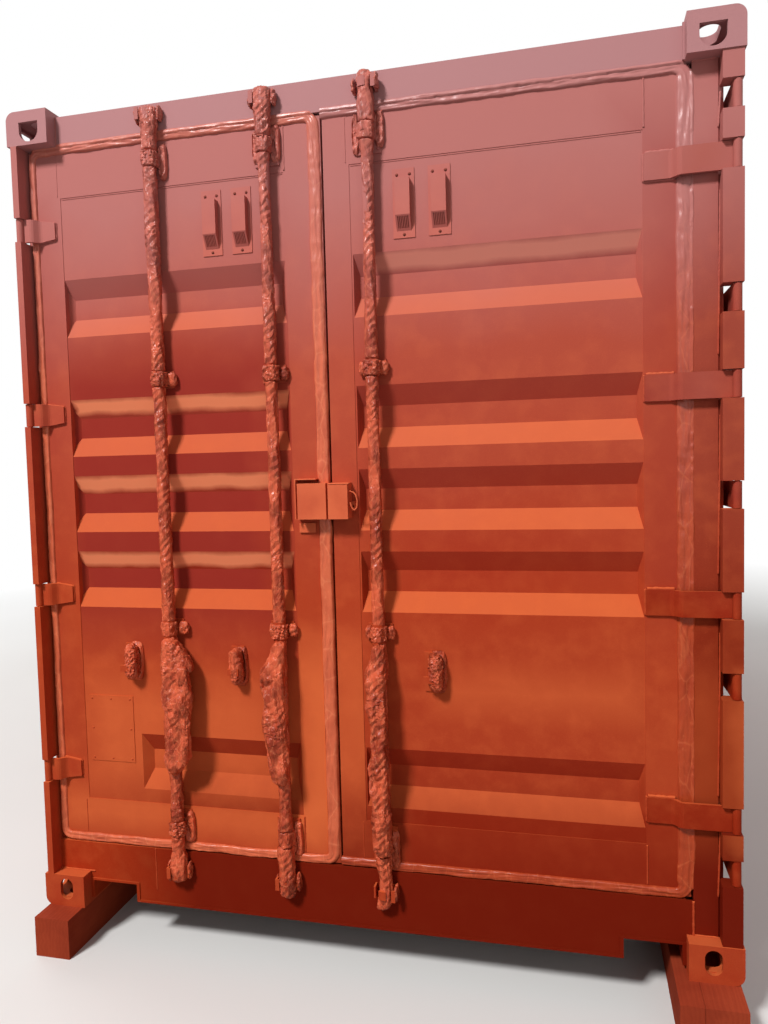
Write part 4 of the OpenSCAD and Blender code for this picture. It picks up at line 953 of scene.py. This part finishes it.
# bags round the handles: height, left, right and half depth in mm from the rod's axis
BAGS = (
    ((938, -16, 84, 20), (925, -16, 87, 26), (880, -13, 87, 28), (826, -12, 85, 28),
     (770, -12, 83, 28), (722, -12, 81, 28), (680, -12, 78, 27), (637, -12, 74, 27),
     (600, -12, 70, 26), (575, -12, 60, 24), (560, -12, 48, 22), (545, -8, 38, 16),
     (530, 0, 32, 8)),
    ((938, -40, 24, 20), (915, -58, 24, 26), (890, -62, 24, 28), (850, -56, 24, 29),
     (826, -47, 23, 27), (806, -43, 23, 26), (780, -50, 24, 28), (742, -52, 26, 28),
     (690, -52, 26, 29), (636, -50, 25, 28), (600, -48, 25, 28), (565, -43, 25, 26),
     (540, -37, 23, 18), (524, -27, 19, 10)),
    ((938, -32, 26, 20), (915, -38, 27, 26), (886, -40, 28, 28), (850, -38, 28, 28),
     (808, -34, 28, 28), (760, -27, 28, 27), (710, -24, 28, 27), (640, -28, 28, 28),
     (577, -32, 28, 28), (500, -35, 29, 27), (444, -36, 30, 26), (380, -32, 28, 23),
     (330, -27, 27, 18), (300, -19, 22, 9)),
)
NECKS = (
    ((1026, -20, 24, 22), (1000, -20, 44, 27), (975, -22, 64, 31), (950, -26, 84, 37),
     (925, -27, 91, 40), (910, -26, 90, 38), (896, -18, 84, 30)),
    ((1026, -18, 22, 22), (985, -28, 22, 27), (960, -42, 24, 33), (942, -58, 26, 38),
     (922, -66, 27, 40), (908, -66, 27, 38), (894, -58, 24, 30)),
    ((1026, -18, 26, 22), (985, -24, 26, 27), (958, -32, 27, 33), (940, -42, 29, 38),
     (920, -44, 30, 40), (906, -43, 29, 38), (892, -38, 26, 30)),
)
# dents in the bags, mm: height, x from the rod's axis, size, depth
HOLLOWS = (
    ((772, 24, 15, 9), (708, 30, 17, 7), (855, 52, 26, 8), (742, 62, 20, 7)),
    ((868, -38, 26, 16), (882, -18, 14, 8), (800, -34, 14, 8), (770, -12, 22, 6)),
    ((880, 6, 18, 8), (705, 0, 22, 8), (632, 8, 20, 6), (560, -10, 26, 8)),
)


class WrapHandles(bpy.types.Operator):
    """Bags of crumpled film round the three hanging handles, gathered above on the rod"""

    bl_idname = "container.wrap_handles"
    bl_label = "Wrap the handles"

    def execute(self, context):
        crumple = context.scene.container_film.bag_crumple
        for i, rows in enumerate(BAGS):
            axis = Vector((RODS[i].x, PIVOTS[i].y - 0.002, 0))
            bag = film_sack(axis, rows, crumple, 900 + 30 * i, back=0.034, fine=0.28, sides=110,
                            step=0.0026, hollows=HOLLOWS[i], square=0.75, sheet=1.1)
            piece = make_piece(f"handle_film_{i + 1}", [bag], "film", f"lever_{i + 1}")
            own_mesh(piece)
            neck_axis = Vector((RODS[i].x, RODS[i].y - 0.018, 0))
            neck = film_sack(neck_axis, NECKS[i], crumple * 0.7, 930 + 30 * i, back=0.030,
                             sides=90, step=0.0026, square=0.8, sheet=0.7)
            piece = make_piece(f"neck_film_{i + 1}", [neck], "film", f"rod_{i + 1}")
            if i == 1:
                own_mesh(piece)
        return {"FINISHED"}


# handle catches: middle in mm and the door; then height, half width and half depth of their film
CATCHES = ((-834, 929, LEFT), (-426, 924, LEFT), (281, 928, RIGHT))
CATCH_ROWS = ((68, 12, 14), (58, 20, 22), (30, 23, 26), (0, 22, 28), (-14, 23, 31), (-30, 22, 27),
              (-52, 21, 23), (-66, 12, 14))


class WrapCatches(bpy.types.Operator):
    """Film round the three handle catches, over a taped rim"""

    bl_idname = "container.wrap_catches"
    bl_label = "Wrap the catches"

    def execute(self, context):
        film = {door: [] for door in DOORS}
        for i, (x, z, door) in enumerate(CATCHES):
            rows = [(z + at, -wide - 1, wide - 2, deep) for at, wide, deep in CATCH_ROWS]
            axis = Vector((x / 1000, DOOR - 0.026, 0))
            film[door].append(film_sack(axis, rows, 0.0055, 1200 + 9 * i, back=0.028, fine=0.7,
                                        step=0.0024))
            film[door].append(film_pad((x / 1000 + 0.003, DOOR - 0.001, height(z - 3)),
                                       (0.029, 0.072), 0.012, 1240 + 9 * i, rim=0.6))
        for door, parts in film.items():
            make_piece(f"{door}_catch_film", parts, "film", door)
        return {"FINISHED"}


LAP = 0.005  # how far the tape reaches past the gap between the leaf and the frame
HEADER_LAP = 0.002  # how far below the header's edge the tape begins to rise onto it


class TapeGaskets(bpy.types.Operator):
    """Wrinkled masking tape over the gaskets of both end doors"""

    bl_idname = "container.tape_gaskets"
    bl_label = "Tape the gaskets"

    def execute(self, context):
        rise = context.scene.container_film.tape_rise
        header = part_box("door_header")[0].z
        low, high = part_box("left_door_gasket")
        leaf_low, leaf_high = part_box("left_door_stiles")
        top, bottom = (leaf_high.z + header) / 2 + LAP, (low.z + leaf_low.z) / 2 - 0.003
        above, below = (header - leaf_high.z) / 2 + LAP, (leaf_low.z - low.z) / 2 + 0.003
        left, middle = (low.x + leaf_low.x) / 2, (high.x + leaf_high.x) / 2
        widths = (below, (high.x - leaf_high.x) / 2, above, (leaf_low.x - low.x) / 2 + 0.001)
        loop = tape_path(((left, bottom), (middle, bottom), (middle, top), (left, top)), widths,
                         rise, 31, (1.0, header - HEADER_LAP))
        make_piece("left_door_gasket_tape", [loop], "tape", LEFT)
        low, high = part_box("right_door_gasket")
        leaf_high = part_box("right_door_stiles")[1]
        start, right = low.x - 0.004, (high.x + leaf_high.x) / 2 + LAP
        run = tape_path(
            ((start, bottom), (right, bottom), (right, top - 0.002), (start, top + 0.002)),
            (below, (high.x - leaf_high.x) / 2 + LAP, above), rise, 47,
            (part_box("front_right_post")[0].x - HEADER_LAP, header - HEADER_LAP), closed=False)
        make_piece("right_door_gasket_tape", [run], "right tape", RIGHT)
        return {"FINISHED"}


# bolt heads: radius and rise
BOLT, RIVET, PIN, SCREW = (0.0055, 0.004), (0.004, 0.002), (0.0045, 0.003), (0.0052, 0.0035)
# wire hook beside the lock box: x from its right side and z from its foot
HOOK = ((-0.002, 0.054), (0.001, 0.046), (0.005, 0.036), (0.011, 0.029), (0.018, 0.032),
        (0.022, 0.041), (0.023, 0.060), (0.019, 0.078), (0.010, 0.088), (-0.002, 0.092))


class BoltFittings(bpy.types.Operator):
    """Bolt heads on the brackets, rivets, screws on the ventilators, hook of the lock box"""

    bl_idname = "container.bolt_fittings"
    bl_label = "Bolt the fittings"

    def execute(self, context):
        heads = {door: [] for door in DOORS}
        for i, axis in enumerate(RODS):
            for k, z in enumerate(BRACKETS):
                rise, sunk = (0.046, 0.0) if k in OUTER else (0.018, 0.002)
                for x in (-0.034, 0.034):
                    for s in (-1, 1):
                        heads[ROD_DOORS[i]].append(bolt_head(
                            (axis.x + x, DOOR - PLATE + sunk, height(z) + s * rise), *BOLT))
        low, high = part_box("data_plate")
        edge, middle_x, middle_z = 0.012, (low.x + high.x) / 2, (low.z + high.z) / 2
        for x in np.linspace(low.x + edge, high.x - edge, 3):
            for z in (low.z + edge, middle_z, high.z - edge):
                if max(abs(x - middle_x), abs(z - middle_z)) > 0.01:
                    heads[LEFT].append(bolt_head((x, low.y, z), *RIVET))
        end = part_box("left_door_hinges")[1].x
        for z in HINGES:
            for x, s in ((0.018, 0), (0.078, 1), (0.078, -1)):
                heads[LEFT].append(bolt_head((end - x, DOOR - 0.0075, height(z + 11 * s)), *PIN))
        low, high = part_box("lock_box")
        hook = [(high.x + x - 0.007, low.y + 0.012, low.z + z) for x, z in HOOK]
        lip = [(x, low.y + 0.001, high.z - 0.003) for x in (low.x + 0.001, high.x - 0.008)]
        make_piece("lock_box_hook", [weld_bead(hook, 0.0024, 60, across=(0.0, 1.0, 0.0)),
                                     weld_bead(lip, 0.0024, 61)],
                   "lock box", RIGHT)
        for body, pieces in heads.items():
            make_piece(f"{body}_bolt_heads", pieces, "fitting", body)
        for door in DOORS:
            low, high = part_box(f"{door}_vents")
            screws = [bolt_head((middle + x, DOOR - 0.001, z), *SCREW)
                      for middle in (low.x + 0.036, high.x - 0.036)
                      for x, z in ((-0.021, high.z - 0.019), (0.021, high.z - 0.019),
                                   (0, low.z + 0.011))]
            make_piece(f"{door}_vent_screws", screws, "screw", door)
        return {"FINISHED"}


# seams up the bars of the right post: low and high end in m above the feet
BAR_SEAMS = ((0.25, 0.46), (0.57, 1.08), (1.26, 1.74), (1.92, 2.40), (2.58, 2.68))


class WeldSeams(bpy.types.Operator):
    """Weld beads and sealant along the joints of the frame, leaves and hinges"""

    bl_idname = "container.weld_seams"
    bl_label = "Weld the seams"

    def execute(self, context):
        beads = {body: [] for body in ("container", *DOORS)}
        self.weld_frame(beads["container"])
        for k, z in enumerate(HINGES):
            self.weld_hinge(beads, k, height(z))
        for door in DOORS:
            self.weld_leaf(beads[door], door)
        for body, pieces in beads.items():
            make_piece(f"{body}_weld_beads", pieces, "fitting", body)
        return {"FINISHED"}

    @staticmethod
    def weld_frame(made):
        """Header, sill, posts and castings of the door end."""
        (left, front, foot), (right, _, top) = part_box("door_header")
        front += 0.009
        post_low, post_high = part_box("front_right_post")
        for ends, radius, seed in (
                (((left, foot), (left, top - 0.006)), 0.003, 3),
                (((right, foot), (right, top - 0.006)), 0.003, 3),
                (((post_low.x, height(85)), (post_low.x, height(228))), 0.0035, 4),
                (((-0.784, height(72)), (-0.784, height(228))), 0.002, 5),
                (((post_low.x, post_low.z), (post_high.x - 0.062, post_low.z)), 0.003, 5),
                (((post_low.x, post_high.z), (post_high.x - 0.062, post_high.z)), 0.003, 5),
                (((-1.196, post_low.z), (-1.04, post_low.z)), 0.003, 6)):
            made.append(weld_bead([(x, front, z) for x, z in ends], radius, seed))
        for low, high in BAR_SEAMS:
            made.append(weld_bead([(1.150, front - 0.001, height(1000 * low)),
                                   (1.156, front - 0.001, height(1000 * high))], 0.0028, 7))

    @staticmethod
    def weld_hinge(beads, k, z):
        """Fillets round the leaf end of a right strap and of a left hinge."""
        right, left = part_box("right_door_hinges")[0].x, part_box("left_door_hinges")[1].x
        face = DOOR - 0.001
        for door, (x, z_from), (x_to, z_to), proud, radius, seed in (
                (RIGHT, (right + 0.004, 0.042), (right + 0.085, 0.042), 0.002, 0.0052, 10),
                (RIGHT, (right, -0.041), (right + 0.09, -0.041), 0, 0.003, 14),
                (RIGHT, (right - 0.001, -0.041), (right - 0.001, 0.041), 0, 0.003, 30),
                (LEFT, (left, -0.029), (left - 0.07, -0.0395), 0, 0.0028, 20),
                (LEFT, (left, 0.029), (left - 0.07, 0.0395), 0, 0.0028, 20),
                (LEFT, (left + 0.001, -0.029), (left + 0.001, 0.029), 0, 0.0028, 40)):
            beads[door].append(weld_bead([(x, face - proud, z + z_from),
                                          (x_to, face - proud, z + z_to)], radius, seed + k))

    @staticmethod
    def weld_leaf(made, door):
        """Sealant under the top rail and short seams where the rails meet the stiles."""
        low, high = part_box(f"{door}_rails")
        sheet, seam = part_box(f"{door}_panel")[0].y, height(2604)
        made.append(weld_bead([(low.x + 0.004, sheet, seam - 0.007),
                               (high.x - 0.004, sheet, seam - 0.007)], 0.0016, 50))
        for x, radius in ((low.x - 0.011, 0.0014), (high.x + 0.003, 0.0025)):
            made.append(weld_bead([(x, DOOR, seam + 0.004), (x, DOOR, high.z - 0.002)], radius, 51))
            made.append(weld_bead([(x, DOOR, low.z + 0.002), (x, DOOR, height(392))], radius, 52))


# lamps: name, place, aim, width and depth, the power's setting and its share
LAMPS = (("Key light", (-4.0, -11.3, 10.6), (0.0, -3.0, 1.4), (2.0, 2.0), "key", 1.0),
         ("Front fill", (3.4, -9.5, 3.0), (0.0, -3.0, 1.3), (5.0, 4.0), "fill", 0.25),
         ("Right fill", (8.0, 1.0, 5.0), (0.0, 0.0, 1.3), (6.0, 4.0), "fill", 1.0),
         ("Left fill", (-8.0, 2.0, 5.0), (0.0, 0.5, 1.3), (6.0, 4.0), "fill", 1.0),
         ("Rear fill", (0.0, 9.0, 5.0), (0.0, 2.0, 1.3), (6.0, 4.0), "fill", 1.0))
FLOOR = 30  # half width of the floor, m
# the camera of the reference view: its place and its right, up and back directions
EYE = (0.7159, -5.4997, 1.7597)
LOOK = ((0.97266, 0.23083, -0.02556), (0.01110, 0.06375, 0.99790), (0.23198, -0.97090, 0.05945))


class SetStage(bpy.types.Operator):
    """Pale floor, soft light and the camera of the reference view"""

    bl_idname = "container.set_stage"
    bl_label = "Set the stage"

    def execute(self, context):
        scene = context.scene
        stage = scene.container_stage
        scene.view_settings.view_transform = "Standard"
        self.add_floor()
        self.add_sky(scene, stage.sky)
        for name, spot, target, size, power, share in LAMPS:
            self.add_lamp(name, spot, target, size, getattr(stage, power) * share)
        self.add_camera(scene, stage.lens)
        return {"FINISHED"}

    @staticmethod
    def add_floor():
        """Flat pale floor that runs out into the white background."""
        points = np.array([[[x, y, 0] for x in (-FLOOR, FLOOR)] for y in (-FLOOR, FLOOR)], float)
        corners, faces = grid_mesh(points)
        mesh = bpy.data.meshes.new("floor")
        mesh.from_pydata(corners.tolist(), [], faces[0].tolist())
        floor = bpy.data.objects.new("floor", mesh)
        bpy.context.scene.collection.objects.link(floor)
        material = bpy.data.materials.new("Pale floor")
        material.use_nodes = True
        tree = material.node_tree
        shader = tree.nodes["Principled BSDF"]
        where = place(tree)
        direct = wire(tree, "ShaderNodeLightPath", "Is Camera Ray")
        pale = blend(noise(where, 0.7), (0.70, 0.69, 0.67, 1), (0.76, 0.75, 0.73, 1))
        color = blend(direct, (0.32, 0.30, 0.28, 1), pale)
        tree.links.new(color.socket, shader.inputs["Base Color"])
        shader.inputs["Roughness"].default_value = 0.9
        far = wire(tree, "ShaderNodeVectorMath", "Value", {0: where}, operation="LENGTH")
        white = wire(tree, "ShaderNodeEmission", 0, {"Color": (1, 1, 1, 1), "Strength": 1.0})
        both = wire(tree, "ShaderNodeMixShader", 0, {
            0: remap(far, 4.0, 9.0) * direct, 1: Wire(tree, shader.outputs["BSDF"]), 2: white})
        tree.links.new(both.socket, tree.nodes["Material Output"].inputs["Surface"])
        mesh.materials.append(material)

    @staticmethod
    def add_sky(scene, strength):
        """Even light; camera, mirror and glass rays see white."""
        world = bpy.data.worlds.new("Soft sky")
        scene.world = world
        world.use_nodes = True
        tree = world.node_tree
        seen = wire(tree, "ShaderNodeLightPath", "Is Camera Ray")
        for ray in ("Is Glossy Ray", "Is Transmission Ray"):
            seen = maths("MAXIMUM", seen, wire(tree, "ShaderNodeLightPath", ray))
        sky = tree.nodes["Background"].inputs
        sky["Color"].default_value = (1, 1, 1, 1)
        tree.links.new(remap(seen, 0.0, 1.0, strength, 1.0).socket, sky["Strength"])

    @staticmethod
    def add_lamp(name, spot, target, size, power):
        """Rectangular soft light aimed at a point."""
        lamp = bpy.data.lights.new(name, "AREA")
        lamp.shape = "RECTANGLE"
        lamp.size, lamp.size_y = size
        lamp.energy = power
        holder = bpy.data.objects.new(name, lamp)
        holder.location = spot
        holder.rotation_euler = (Vector(target) - Vector(spot)).to_track_quat("-Z", "Y").to_euler()
        bpy.context.scene.collection.objects.link(holder)

    @staticmethod
    def add_camera(scene, lens):
        """Camera where the reference picture was taken from."""
        camera = bpy.data.cameras.new("Camera")
        camera.sensor_fit = "VERTICAL"
        camera.sensor_height = camera.sensor_width = 36.0
        camera.lens = lens
        camera.clip_end = 200
        holder = bpy.data.objects.new("Camera", camera)
        holder.matrix_world = Matrix.Translation(EYE) @ Matrix(LOOK).transposed().to_4x4()
        scene.collection.objects.link(holder)
        scene.camera = holder


class ContainerPanel(bpy.types.Panel):
    """Lists the container's steps and sizes"""

    bl_idname = "VIEW3D_PT_container"
    bl_label = "Shipping container"
    bl_space_type = "VIEW_3D"
    bl_region_type = "UI"
    bl_category = "Container"

    def draw(self, context):
        layout = self.layout
        for settings in (context.scene.container_paint, context.scene.container_film,
                         context.scene.container_stage):
            for key in settings.__annotations__:
                layout.prop(settings, key)
        for step in STEPS:
            layout.operator(step.bl_idname)


STEPS = (PaintSteel, WrapRods, WrapBrackets, WrapKeepers, WrapHandles, WrapCatches, TapeGaskets,
         BoltFittings, WeldSeams, SetStage)
GROUPS = {"container_paint": PaintSettings, "container_film": FilmSettings,
          "container_stage": StageSettings}


def register():
    """Registers the settings, the steps and the panel."""
    for cls in (*GROUPS.values(), *STEPS, ContainerPanel):
        bpy.utils.register_class(cls)
    for key, group in GROUPS.items():
        setattr(bpy.types.Scene, key, bpy.props.PointerProperty(type=group))


def unregister():
    """Removes the panel, the steps and the settings."""
    for key in GROUPS:
        delattr(bpy.types.Scene, key)
    for cls in (ContainerPanel, *reversed(STEPS), *reversed(list(GROUPS.values()))):
        bpy.utils.unregister_class(cls)


def main():
    register()
    for step in STEPS:
        area, verb = step.bl_idname.split(".")
        getattr(getattr(bpy.ops, area), verb)()


if __name__ == "__main__":
    main()
